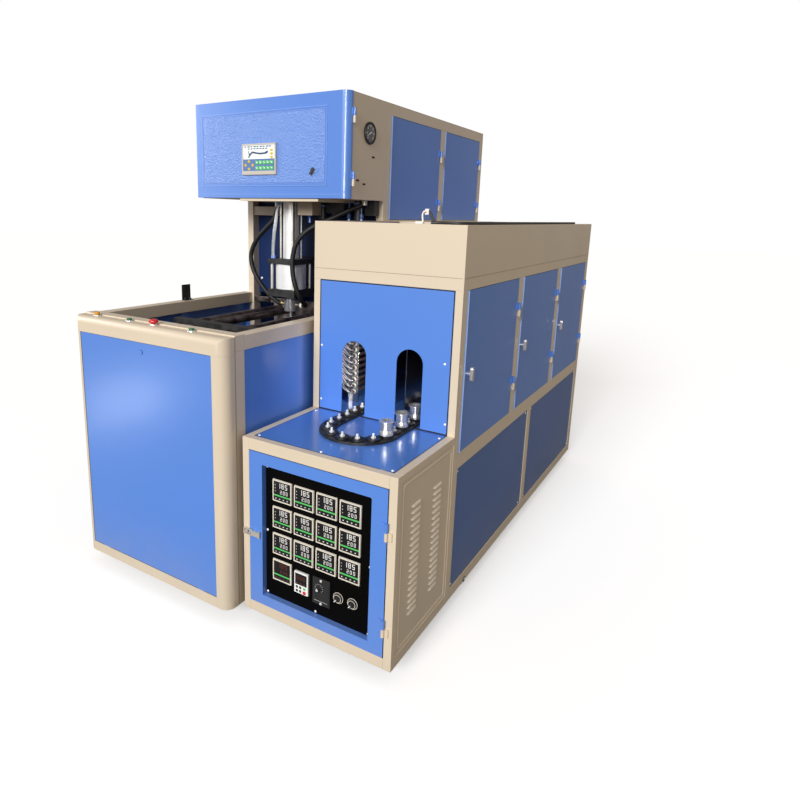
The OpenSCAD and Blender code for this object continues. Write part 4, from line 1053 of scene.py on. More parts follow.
CORDS = (
    Cord("hose_left_rubber", "hose_left", "hose_rubber", 12.5, "stiff", "hanging", (
        (-576, 944, 1752.7), (-576, 944, 1741.7), (-578, 942, 1714.4), (-596, 936, 1661.2), (-644, 930, 1614.1),
        (-702, 930, 1561.6), (-742, 930, 1504.6), (-757, 930, 1449.8), (-745, 930, 1390.7), (-712, 930, 1332.6),
        (-672, 932, 1286.1), (-630, 938, 1242.8), (-590, 943, 1216), (-564, 944, 1205), (-550.3, 944, 1205)),
        moving_end="blow_nozzle", sides=18, steps=5),
    Cord("hose_right_rubber", "hose_right", "hose_rubber", 12.5, "stiff", "hanging", (
        (-62, 1000, 1765.7), (-62, 1000, 1757.3), (-84, 990, 1737.7), (-152, 960, 1706.8), (-207, 920, 1673.7),
        (-272, 872, 1636.7), (-324, 842, 1594.7), (-361, 828, 1543.7), (-377, 822, 1488.7), (-380, 819, 1438.8),
        (-374, 819, 1374.9), (-360, 823, 1318.8), (-346, 842, 1261.6), (-350, 890, 1221.8), (-374, 930, 1208.4),
        (-400, 944, 1205), (-417.7, 944, 1205)), moving_end="blow_nozzle", sides=18, steps=5),
    Cord("air_tube_first", "air_tubes", "clear_tube", 5.0, "medium", "hanging", (
        (-516, 880, 1752.7), (-516, 880, 1746.8), (-518, 872, 1713.6), (-523, 868, 1650), (-529, 862, 1586.4),
        (-541, 866, 1499.3), (-542, 870, 1462.2), (-542, 870, 1456.3))),
    Cord("air_tube_second", "air_tubes", "clear_tube", 5.0, "medium", "hanging", (
        (-532, 892, 1752.7), (-532, 892, 1746.8), (-534, 884, 1713.6), (-538, 874, 1650), (-543, 866, 1586.4),
        (-556, 874, 1499.3), (-560, 880, 1462.2), (-560, 880, 1456.3))),
    Cord("hood_cable", "top_cables", "matte_black", 6.0, "medium", "loose", (
        (545, 494, 1672), (580, 500, 1672.05), (640, 500, 1672.05), (675, 530, 1672.05), (687, 620, 1672.05),
        (688, 860, 1672.05), (686, 1105, 1672.05), (688, 1509, 1672.05), (686, 1913, 1672.05),
        (687, 2250, 1672.05))))


@dataclass
class SubAssembly:
    """A part of the set that makes its own pieces."""

    shop: Workshop
    body: str = "machine"

    def piece(self, name: str, shape: Shape, finish: str, body: str = "", stands_for: Sequence[str] = ()) -> None:
        """Make one piece that rides on this sub-assembly's own body, or on the body given."""
        self.shop.shape(name, shape, finish, body or self.body, stands_for)

    def soften(self, *rows: tuple) -> None:
        """Round the edges of several nodes; each row has what `Workshop.soften` takes."""
        for row in rows:
            self.shop.soften(*row)

    def build(self) -> None:
        """Make all pieces."""
        raise NotImplementedError


# ---------------------------------------------------------------- blower


@dataclass
class Tub(SubAssembly):
    """The open mould tub: frame, cover, lining, lift-off panel and buttons."""

    button_y: float = -27.0
    rim: float = 1225.0

    def cap(self, node: str, x: float, finish: str, profile: Sequence[Flat], sides: int) -> None:
        """Make one button's cap from its profile, whose heights start at the rim."""
        shape = Shape().lathe(Axis.Z, (x, self.button_y, self.rim), profile, sides)
        self.piece(node + "_cap", shape, finish, node, (node,))

    def buttons(self) -> None:
        """Make three crowned push buttons, the red mushroom head and their bright collars."""
        for node, x, finish, top in (("amber_button", -836, "amber_cap", 18),
                                     ("green_button_left", -617, "green_cap", 13),
                                     ("green_button_right", -238, "green_cap", 13)):
            self.cap(node, x, finish, ((0, 4.5), (11, 4.5), (11, 9), (12.4, 9.6), (12.4, top - 2.2),
                                       (11.6, top - 0.8), (9.6, top - 0.3), (5, top - 0.9), (0, top - 1.1)), 36)
        self.cap("e_stop", -462, "red_cap", (
            (0, 4.5), (9.1, 4.5), (9.1, 10), (17, 10.6), (19.7, 13), (20, 16), (19.2, 20), (16.6, 23.6),
            (11.5, 25.4), (5, 25.9), (0, 26)), 44)
        collars = Shape()
        for x, r in ((-836, 12.7), (-617, 12.7), (-462, 9.6), (-238, 12.7)):
            collars.lathe(Axis.Z, (x, self.button_y, self.rim), (
                (r, -0.5), (16.5, -0.5), (16.5, 2.2), (15.5, 4), (r + 0.9, 5.3), (r, 4.6), (r, -0.5)), 36)
        self.piece("button_collars", collars, "turned_steel")

    def panel_lock(self) -> None:
        """Add the recessed turn lock of the lift-off panel."""
        rose = Shape().prism(Axis.Y, -77.2, -74, rounded(-516, -482, 1104, 1120, 7.9), 0.7)
        self.piece("panel_lock_rose", rose, "matte_black", "front_panel")
        core = Shape().lathe(Axis.Y, (-499, -77.9, 1112), ((0, 0), (4.8, 0), (5.4, 0.6), (5.4, 3), (0, 3)), 24)
        self.piece("panel_lock_core", core, "brass", "front_panel")

    @staticmethod
    def is_wall(centre: Vector) -> bool:
        """Return whether a face belongs to the wall behind the blowing space, which is painted dark navy: partly its
        own paint, partly painted shade.
        """
        return 1130 < centre.y < 1138 and centre.z > 1224 and -870 < centre.x < -41

    @staticmethod
    def is_shaded(centre: Vector) -> bool:
        """Return whether a face belongs to the frame in the shade under the head."""
        return 1600 < centre.z < 1767 and centre.y > 860 and (-520 < centre.x < -45 or -868 < centre.x < -690)

    def build(self) -> None:
        """Make the tub."""
        self.soften(("blower_frame", "cream_coat", 2.0, ("shaded_cream_coat", self.is_shaded)),
                    ("tub_cover", "cream_coat", 1.2),
                    ("blower_panels", "blue_coat", 0.6, ("navy_coat", self.is_wall)),
                    ("front_panel", "blue_coat", 1.5))
        self.buttons()
        self.panel_lock()


@dataclass
class HeadBox(SubAssembly):
    """The overhanging head: shell, big door with its pressed field, screen, lock and gauge."""

    body: str = "head_door"
    face: float = 729.0
    screen: tuple[float, float, float, float] = (-628, -407, 1880, 2032)
    gauge_at: Point = (0.0, 925.0, 2077.0)

    def shell(self) -> None:
        """Dress the shell, and lay its three side slots flat, as the photograph shows them."""
        self.soften(("blower_shell", "cream_coat", 0.8))
        plugs, slots = Shape(), Shape()
        for y, z in ((827, 1854), (886, 1839), (968, 1970)):
            plugs.prism(Axis.X, -3, 0.1, rounded(y - 4.4, y + 4.4, z - 11.4, z + 11.4, 4.3))
            slots.prism(Axis.X, -3, 0.4, rounded(y - 14, y + 14, z - 4.5, z + 4.5, 4.4))
        self.piece("side_slot_plugs", plugs, "cream_coat", "machine")
        # The side slots are flat dark strips on cream plugs: painted shade in the openings.
        self.piece("side_slot_shades", slots, "gap_shade_dark", "machine")

    def door(self) -> None:
        """Dress the door, and add its coarse-grained inner field, painted a lighter blue as a sheen, and the stepped
        line round it, painted lighter as a highlight.
        """
        self.soften(("head_door", "door_coat", 1.6))
        pressed = Shape()
        pressed.skin([pressed.ring((x, self.face + 0.4 - height, z) for x, z in rounded(
            -900 + inset, -127 - inset, 1841 + inset, 2171 - inset, 12 - inset))
            for inset, height in ((0, 0), (0.6, 0.5), (1.4, 0.8), (2.4, 0.9))])
        self.piece("head_door_field", pressed, "blue_field_sheen_coat")
        # The stepped lines round the field and the line near the door's foot are a lighter blue: painted highlights.
        lines = Shape().frame(Axis.Y, 728.5, 729.4, (-914, -113, 1827, 2185), 1.6)
        lines.frame(Axis.Y, 728.5, 729.4, (-903, -124, 1838, 2174), 1.6).box(-940, -40, 730.4, 731.4, 1786, 1787.6)
        self.piece("head_door_lines", lines, "blue_edge_highlight")

    def touch_screen(self) -> None:
        """Make the operator screen with a plain diagram of fields, strokes and keys."""
        x0, x1, z0, z1 = self.screen
        left, right, low, top, mid = x0 + 9, x1 - 9, z0 + 20, z1 - 9, z0 + 77
        y = self.face
        glass, ink = y - 5.6, (y - 7.9, y - 7.2)
        bezel = Shape().box(x0, x1, y - 6, y, z0, z1, 2.0)
        for a0, a1, b0, b1 in border(x0, x1, z0, z1, 1, 9, 9, 20):
            bezel.box(a0, a1, y - 9.8, y - 5.5, b0, b1, 1.2)
        self.piece("screen_bezel", bezel, "screen_rim", stands_for=("head_screen",))
        self.piece("screen_upper", Shape().box(left, right, y - 7.4, glass, mid, top, 0.2), "screen_field")
        self.piece("screen_lower", Shape().box(left, right, y - 7.3, glass, low, mid - 0.1, 0.2), "screen_blue")
        strokes = Shape()
        for k in range(9):
            strokes.box(left + 8 + 20 * k, left + 20 + 20 * k + 4 * (k % 2), *ink, top - 9, top - 4, 0.2)
        for k in range(7):
            strokes.box(left + 30 + 19 * k, left + 43 + 19 * k, *ink, top - 19, top - 14, 0.2)
        strokes.prism(Axis.Y, *ink, [(left + u, mid + w) for u, w in (
            (33, 6), (40, 6), (43, 16), (48, 17), (59, 28), (70, 27), (88, 24), (113, 21), (140, 22.5), (155, 25),
            (160, 30), (161, 38), (155, 38), (140, 31), (113, 29.5), (88, 32), (72, 36), (56, 37), (44, 26),
            (40, 28), (36, 40), (31, 40), (37, 22))])
        self.piece("screen_strokes", strokes, "screen_ink")
        yellow = Shape()
        for a, b in ((14, 28), (61, 28), (37, 46), (37, 10)):
            yellow.prism(Axis.Y, *ink, [(left + a + u, low + b + v) for u, v in ((0, -8), (9, 0), (0, 8), (-9, 0))])
        for k in range(3):
            yellow.box(right - 27, right - 11, *ink, mid + 1 + 16.5 * k, mid + 13 + 16.5 * k, 0.3)
        self.piece("screen_yellow_keys", yellow, "screen_yellow")
        for name, finish, inset, lift in (("screen_green_keys", "screen_green", 0.0, 0.0),
                                          ("screen_key_marks", "screen_field", 6.5, 0.3)):
            key = Shape().box(left + 81 + inset, left + 101 - inset, ink[0] - lift, ink[1], low + 4 + inset,
                              low + 22 - inset, 0.2)
            self.shop.grid(name, key, finish, (5, (23.5, 0, 0)), (2, (0, 0, 27)), self.body)

    def lock(self) -> None:
        """Make the black lever lock on its bright rose."""
        x, z, y = -188.0, 1894.0, self.face
        rose = Shape().lathe(Axis.Y, (x, y, z), ((0, -6), (9.8, -6), (10.9, -5), (10.9, -0.2), (0, -0.2)), 32)
        self.piece("lock_rose", rose, "bright_screw", "head_lock")
        outline = [(x + 3 + 9.5 * u, z + 5 + 10.5 * v)
                   for u, v in arc(0, 0, 1, (math.radians(-70 + 20 * k) for k in range(12)))]
        outline += [(x - 10, z - 4), (x - 17, z - 13), (x - 15.5, z - 17), (x - 9, z - 17), (x + 1, z - 10)]
        lever = Shape().prism(Axis.Y, y - 14, y - 6.1, outline, 1.4)
        self.piece("lock_lever", lever, "matte_black", "head_lock", ("head_lock",))

    def gauge(self) -> None:
        """Make the pressure gauge on the head's right side: a long mark at each fifth of its 31 marks."""
        case = Shape().lathe(Axis.X, self.gauge_at, (
            (0, -3), (50, -3), (51.6, -1), (51.8, 6.5), (50.2, 9.6), (43.4, 9.9), (41.6, 8.6), (41.6, 5.0),
            (0, 5.0)), 56)
        case.lathe(Axis.X, self.gauge_at, ((0, -40), (42, -40), (44, -38), (44, -3.4), (0, -3.4)), 40)
        self.piece("gauge_case", case, "matte_black", "machine", ("pressure_gauge",))
        dial = Shape().lathe(Axis.X, self.gauge_at, ((0, 5.1), (41.4, 5.1), (41.4, 5.6), (0, 5.6)), 48)
        self.piece("gauge_dial", dial, "dial_grey", "machine")
        marks = Shape()
        y, z = self.gauge_at[1:]
        for k in range(31):
            inner, half = (33, 0.8) if k % 5 else (26, 1.9)
            marks.prism(Axis.X, 5.5, 6.0, ray(y, z, -135 + 9 * k, inner, 39, half))
        marks.prism(Axis.X, 6.2, 6.8, ray(y, z, -118, -14, 34, 3, 1))
        marks.lathe(Axis.X, self.gauge_at, ((0, 5.7), (3.4, 5.7), (3.0, 7.6), (0, 7.8)), 20)
        self.piece("gauge_marks", marks, "keypad_white", "machine")

    def build(self) -> None:
        """Make the head."""
        self.shell()
        self.door()
        self.touch_screen()
        self.lock()
        self.gauge()


@dataclass
class Cabinet(SubAssembly):
    """The two side doors of the cabinet behind the head."""

    def build(self) -> None:
        """Make the doors."""
        self.soften(("cab_door_front", "blue_coat", 1.2), ("cab_door_rear", "blue_coat", 1.2))
        self.shop.door_lip("cab_door_front", 0, 1146, 1674, 2186)
        self.shop.door_lip("cab_door_rear", 0, 1813, 1674, 2186)


@dataclass
class BlowStation(SubAssembly):
    """The stretch-blow axis with its cylinders, plates, nozzle, fittings and valves."""

    x: float = -484.0
    y: float = 944.0
    nozzle_z: float = 1205.0
    gear_y: float = 1020.0

    def barrels(self) -> None:
        """Make the two barrels with the slots of the upper one, and their tie rods."""
        c = (self.x, self.y, 0.0)
        big = Shape().lathe(Axis.Z, c, ((76.5, 1293.2), (80.5, 1293.2), (81.5, 1294.2), (81.5, 1426.8),
                                        (80.5, 1427.8), (76.5, 1427.8), (76.5, 1293.2)), 72)
        self.piece("seal_barrel", big, "anodised_barrel", stands_for=("air_cylinders",))
        slim = Shape().lathe(Axis.Z, c, ((39, 1456.2), (43, 1456.2), (43, 1989.8), (48, 1990.4), (48.8, 1991.2),
                                         (48.8, 2009), (47.6, 2010), (0, 2010), (0, 1990.2), (39, 1990.2),
                                         (39, 1456.2)), 56)
        self.piece("stretch_barrel", slim, "anodised_barrel")
        # The slots are thin black strips on the barrel's surface: painted shade in its grooves.
        slots = Shape()
        for angle, half in ((121, 2.6), (104, 0.8), (190, 0.8), (-60, 2.6)):
            slots.prism(Axis.Z, 1457, 1989, ray(self.x, self.y, angle, 42.8, 43.4, half))
        self.piece("barrel_slot_shades", slots, "matte_black")
        rods = Shape()
        for sx, sy in ((-1, -1), (-1, 1), (1, -1), (1, 1)):
            for reach, radius, low, high, sides in ((39, 5, 1456.2, 1752.8, 20), (73, 7, 1293.2, 1427.8, 24)):
                rods.lathe(Axis.Z, (self.x + sx * reach, self.y + sy * reach, 0),
                           ((0, low), (radius, low), (radius, high), (0, high)), sides)
        self.piece("tie_rods", rods, "zinc_plate")

    def nozzle(self) -> None:
        """Dress the moving nozzle and add its brass unions."""
        self.soften(("blow_nozzle", "nozzle_steel", 0.8), ("stretch_rod", "turned_steel", 0.6))
        union = Shape()
        for s in (-1, 1):
            outer, inner = self.x + s * 66, self.x + s * 57
            union.prism(Axis.X, min(outer, inner), max(outer, inner),
                        arc(self.y, self.nozzle_z, 12, (math.pi * k / 3 for k in range(6))), 0.8)
            low = -8 if s > 0 else 0
            union.lathe(Axis.X, (inner, self.y, self.nozzle_z), ((0, low), (10.2, low), (10.2, low + 8),
                                                                 (0, low + 8)), 24)
        self.piece("nozzle_unions", union, "brass", "blow_nozzle")
        collar = Shape().lathe(Axis.X, (0, self.y, self.nozzle_z), (
            (12.7, -416), (15.4, -416), (15.4, -404), (12.7, -403), (12.7, -416)), 28)
        self.piece("nozzle_collar", collar, "ceramic_white", "blow_nozzle")

    def ferrules(self) -> None:
        """Add crimped steel sleeves at the fixed ends of the hoses and collars on the tubes."""
        steel, blue = Shape(), Shape()
        for top in ((-576, 944, 1752.9), (-62, 1000, 1765.9)):
            steel.lathe(Axis.Z, top, (
                (12.7, 0), (14.6, 0), (14.6, -7), (13.8, -8), (14.6, -9), (14.6, -15), (13.8, -16),
                (14.6, -17), (14.4, -24), (12.7, -25)), 28)
        for foot in ((-542, 870, 1456.2), (-560, 880, 1456.2), (-516, 880, 1736.5), (-532, 892, 1736.5)):
            blue.lathe(Axis.Z, foot, ((5.3, 0), (8.4, 0), (8.6, 1), (8.6, 8), (7.4, 10), (7.4, 14), (5.3, 15.5)), 24)
        self.piece("hose_sleeves", steel, "zinc_plate")
        self.piece("tube_unions", blue, "fitting_blue")

    def gear(self) -> None:
        """Dress the hanging filters and valves, and add their blue rings and bowls, and two bolts on the wall."""
        self.soften(("air_gear", "matte_black", 1.2))
        y = self.gear_y
        blue, bowls, highlights = Shape(), Shape(), Shape()
        for x, top in ((-330, 1752.8), (-255, 1752.8), (-110, 1765.8)):
            blue.lathe(Axis.Z, (x, y, 0), ((0, 1639), (8, 1639), (9, 1640), (9, 1652), (0, 1652)), 22)
            blue.lathe(Axis.Z, (x, y, top), ((20.2, -22), (21.6, -21), (21.6, -12), (20.2, -11)), 30)
        for x in (-415, -165, -91):
            blue.lathe(Axis.Z, (x, y, 0), ((0, 1755), (4, 1755), (4, 1697), (11, 1696), (11, 1684), (0, 1684)), 20)
            bowls.lathe(Axis.Z, (x, y, 0), ((0, 1683), (10.6, 1683), (10.6, 1652), (6, 1645), (0, 1644)), 20)
            # A white strip on the front of each bowl: painted highlight.
            highlights.prism(Axis.Z, 1650, 1673, arc(x, y, 2, (-0.9,)) + arc(x, y, 11.3, (-1.3, -1.1, -0.9, -0.7)))
        self.piece("filter_rings", blue, "fitting_blue")
        self.piece("hanging_bowls", bowls, "bowl_blue")
        self.piece("hanging_bowl_highlights", highlights, "keypad_white")
        self.shop.screws("wall_bolts", ((-847, 1130.2, 1309), (-447, 1050, 1690)), FACES_FRONT, 8, 5)

    def build(self) -> None:
        """Make the station."""
        self.barrels()
        self.soften(("cylinder_plates", "black_plate", 1.4))
        self.nozzle()
        self.ferrules()
        self.gear()


@dataclass
class Clamp(SubAssembly):
    """The clamping unit in the tub."""

    @staticmethod
    def is_worn(centre: Vector) -> bool:
        """Return whether a face belongs to the upper part of an end plate, which is worn."""
        return centre.z > 327 and (109 < centre.y < 151 or 1097 < centre.y < 1163)

    def build(self) -> None:
        """Make the clamp."""
        self.soften(("clamp_frame", "tie_bar_black", 1.5, ("worn_plate", self.is_worn)),
                    ("moving_platen", "black_plate", 1.5))


# ---------------------------------------------------------------- heater


@dataclass
class HeaterBody(SubAssembly):
    """Frame, panels, hood, table, louvres and fittings of the preform heater."""

    sheet: tuple[float, float, float, float] = (33.3, 482.8, 111.2, 795.8)
    sheet_x: float = 696.2
    louvre: tuple[float, float, float] = (120.0, 223.0, 80.0)
    columns: tuple[int, Point] = (2, (0, 186, 0))
    rows: tuple[int, Point] = (18, (0, 0, 25.8))

    def louvres(self) -> None:
        """Make the louvred side panel: a sheet, its pressed border and two columns of pressed louvres."""
        face = self.sheet_x
        sheet = Shape().box(693, 696.4, *self.sheet, 0.6)
        self.piece("louvre_sheet", sheet, "cream_coat", stands_for=("louvre_panel",))
        y0, z0, width = self.louvre
        unit, rings = Shape(), []
        for t in (k / 8 for k in range(9)):
            lift = min(1.0, 8 * min(t, 1 - t) + 0.06)
            rings.append(unit.ring((face + out * lift, y0 + width * t, z0 + 10 + (up - 10) * (0.35 + 0.65 * lift))
                                   for out, up in ((0, 13.8), (2.4, 13.2), (4.6, 11.2), (5.6, 8.6), (5.6, 4.6),
                                                   (4.7, 4.4), (4.5, 8.2), (3.4, 10.2), (1.8, 11.8), (0, 12.4))))
        unit.skin(rings)
        # The louvres take a lighter cream than the sheet they are pressed from: painted highlight.
        self.shop.grid("pressed_louvres", unit, "louvre_lit_coat", self.columns, self.rows)
        # A thin black strip under each louvre: painted shade in its opening.
        slot = Shape().box(696.3, 696.8, y0 + 9, y0 + width - 9, z0 + 1.6, z0 + 10)
        self.shop.grid("louvre_slot_shades", slot, "matte_black", self.columns, self.rows)
        rim = Shape()
        a, b, c, d = self.sheet
        rim.skin([rim.ring((x, y, z) for y, z in rounded(a + inset, b - inset, c + inset, d - inset, 28 - inset, 6))
                  for inset, x in ((14.0, face), (17.5, face + 3), (21.0, face))], around=True)
        self.shop.shape("louvre_border", rim, "cream_coat", smooth=70)

    def screws(self) -> None:
        """Set the domed screws of the oven front, the table and the side panels."""
        self.shop.screws("oven_front_screws", ((45, 482.6, 1122), (640, 482.6, 1121), (45, 482.6, 872),
                                               (655, 482.6, 872)), FACES_FRONT)
        self.shop.screws("table_screws", ((48, 48, 826), (652, 48, 826), (48, 440, 826), (652, 440, 826),
                                          (350, 46, 826)), FACES_UP, 6.2)
        self.shop.screws("side_panel_screws", ((696, y, z) for y in (548, 1500, 1602, 2620) for z in (132, 658)),
                         FACES_RIGHT)

    def build(self) -> None:
        """Make the body."""
        # The heater's right-side panel faces below 690 mm take a darker blue: painted shade.
        self.soften(("heater_frame", "cream_coat", 2.0), ("heater_hood", "cream_coat", 1.2),
                    ("heater_panels", "blue_coat", 0.8, ("low_coat", lambda c: c.x > 690 and c.z < 690)),
                    ("oven_front", "blue_coat", 0.8), ("table_top", "table_coat", 0.8),
                    ("hinge_bases", "cream_coat", 0.8), ("steel_fittings", "zinc_plate", 0.8))
        # A thin strip of the shaded cream marks the hood's fold: painted shade.
        fold = Shape().box(6, 694, 482.3, 483.2, 1464, 1466.2, 0.3).box(699.8, 700.7, 486, 2692, 1464, 1466.2, 0.3)
        self.piece("hood_fold", fold, "shaded_cream_coat")
        self.piece("rail_bracket", Shape().box(690, 701.6, 690, 712, 64, 88, 1.0), "matte_black")
        bolt = Shape().lathe(Axis.X, (701.2, 702, 79), ((0, 0), (5, 0), (5, 2), (3.6, 3), (0, 3)), 16)
        self.piece("rail_bolt", bolt, "bright_screw")
        self.louvres()
        self.screws()


@dataclass
class Oven(SubAssembly):
    """Lamps with their ceramic ends and wires, and the reflectors."""

    first_z: float = 880.0
    step: float = 29.0
    lamps: int = 9
    ends: tuple[tuple[str, float, int], ...] = (("left", 120.0, -1), ("right", 580.0, 1))

    def lamp_ends(self) -> None:
        """Make the stepped ceramic ends with their metal tips, nine high on both sides."""
        for side, x, _ in self.ends:
            for name, finish, y, profile, sides in (
                    ("lamp_ends_", "ceramic_white", 630, ((0, 0), (6.4, 0), (8, 1.4), (8, 6), (11, 6.6), (11, 19),
                                                          (8.6, 20), (8.6, 26), (0, 26)), 18),
                    ("lamp_tips_", "turned_steel", 626, ((0, 0), (3.4, 0), (3.8, 0.6), (3.8, 4.2), (0, 4.2)), 14)):
                unit = Shape().lathe(Axis.Y, (x, y, self.first_z), profile, sides)
                self.shop.grid(name + side, unit, finish, (1, (0, 0, 0)), (self.lamps, (0, 0, self.step)))

    def wires(self) -> None:
        """Lead two white wires from each lamp end in a fan up to the duct."""
        paths = []
        for _, x, side in self.ends:
            for k in range(self.lamps):
                z = self.first_z + self.step * k
                for rise in ((4, 24, 52, 86, 130), (2, 14, 34, 62, 104)):
                    spread = ((8, 617), (20, 602), (32, 591 - k), (42 + k / 2, 584 - k), (48 + k / 2, 580 - k))
                    paths.append(smooth_path((
                        (x, 627, z), *((x + side * a, y, z + up) for (a, y), up in zip(spread, rise)),
                        (x + side * (50 + k / 2), 580, 1250)), 5))
        self.shop.wires("lamp_wires", paths, 1.7, "ceramic_white", 7)

    def build(self) -> None:
        """Make the oven's inside."""
        self.soften(("lamp_bank", "lamp_frosted", 0.6), ("reflectors", "polished_reflector", 0.8))
        self.lamp_ends()
        self.wires()


@dataclass
class Chain(SubAssembly):
    """The roller chain of black discs with its studs, and the three preform cups."""

    centre: Flat = (350.0, 329.0)
    reach: float = 134.5
    pitch: float = 63.5
    arm: int = 9
    first: float = 10.0
    z: float = 836.2
    cup_z: float = 843.3

    def route(self) -> tuple[list[Point], list[Point], list[Point]]:
        """Return the points of the front turn, the left arm and the right arm, by the chain's pitch."""
        step = math.degrees(self.pitch / self.reach)
        count = int((180 - self.first) // step)
        cx, cy = self.centre
        turn = [(x, y, self.z) for x, y in arc(cx, cy, self.reach, (
            -math.radians(self.first + k * step) for k in range(count + 1)))]
        arms = []
        for side, rest in ((-1, 180 - self.first - count * step), (1, self.first)):
            start = cy + self.pitch - math.radians(rest) * self.reach
            arms.append([(cx + side * self.reach, start + k * self.pitch, self.z) for k in range(self.arm)])
        return turn, *arms

    def copies(self, name: str, points: Sequence[Point], profile: Sequence[Flat], finish: str, sides: int,
               stands_for: Sequence[str] = ()) -> None:
        """Make one piece of a turned unit copied to points.

        Args:
            name: The piece's name.
            points: Where the copies stand.
            profile: The unit's profile, as `Shape.lathe` takes it.
            finish: The name of its finish.
            sides: Faces round the unit.
            stands_for: Nodes of the frame that it replaces.
        """
        shape = Shape()
        for point in points:
            shape.lathe(Axis.Z, point, profile, sides)
        self.piece(name, shape, finish, stands_for=stands_for)

    def cup(self, node: str, at: Point) -> None:
        """Turn one preform cup: foot, barrel with two grooves, flanged rim and open bore."""
        shape = Shape().lathe(Axis.Z, at, (
            (0, 0), (20, 0), (20, 2), (28, 2.6), (29, 4), (28.4, 12), (26, 18), (23.6, 22), (23, 26), (23, 53),
            (24, 54.4), (29.6, 55.2), (30.6, 56.4), (30.6, 61), (29.8, 62), (19.5, 62), (18.5, 61), (18.5, 24),
            (0, 23)), 56)
        self.piece(node + "_turned", shape, "turned_steel", node, (node,))

    def build(self) -> None:
        """Make chain and cups."""
        self.soften(("chain_track", "chain_black", 0.8))
        turn, left, right = self.route()
        self.copies("chain_discs", turn + left + right, (
            (0, 0), (28.2, 0), (29, 0.8), (29, 5.8), (28, 6.8), (17, 6.8), (16, 5.4), (0, 5.4)), "chain_black", 30)
        self.copies("chain_stud_heads", turn[1:] + left + right[::2], (
            (0, 5.6), (10, 5.6), (10.3, 6.4), (10.3, 10.4), (8.6, 12.6), (5.6, 13.6), (5.2, 15), (5.2, 23.6),
            (4.2, 25.4), (0, 25.8)), "stud_steel", 24, ("chain_studs",))
        for number, (x, y, _) in enumerate((right[3], right[1], turn[0]), 1):
            self.cup(f"preform_cup_{number}", (x, y, self.cup_z))


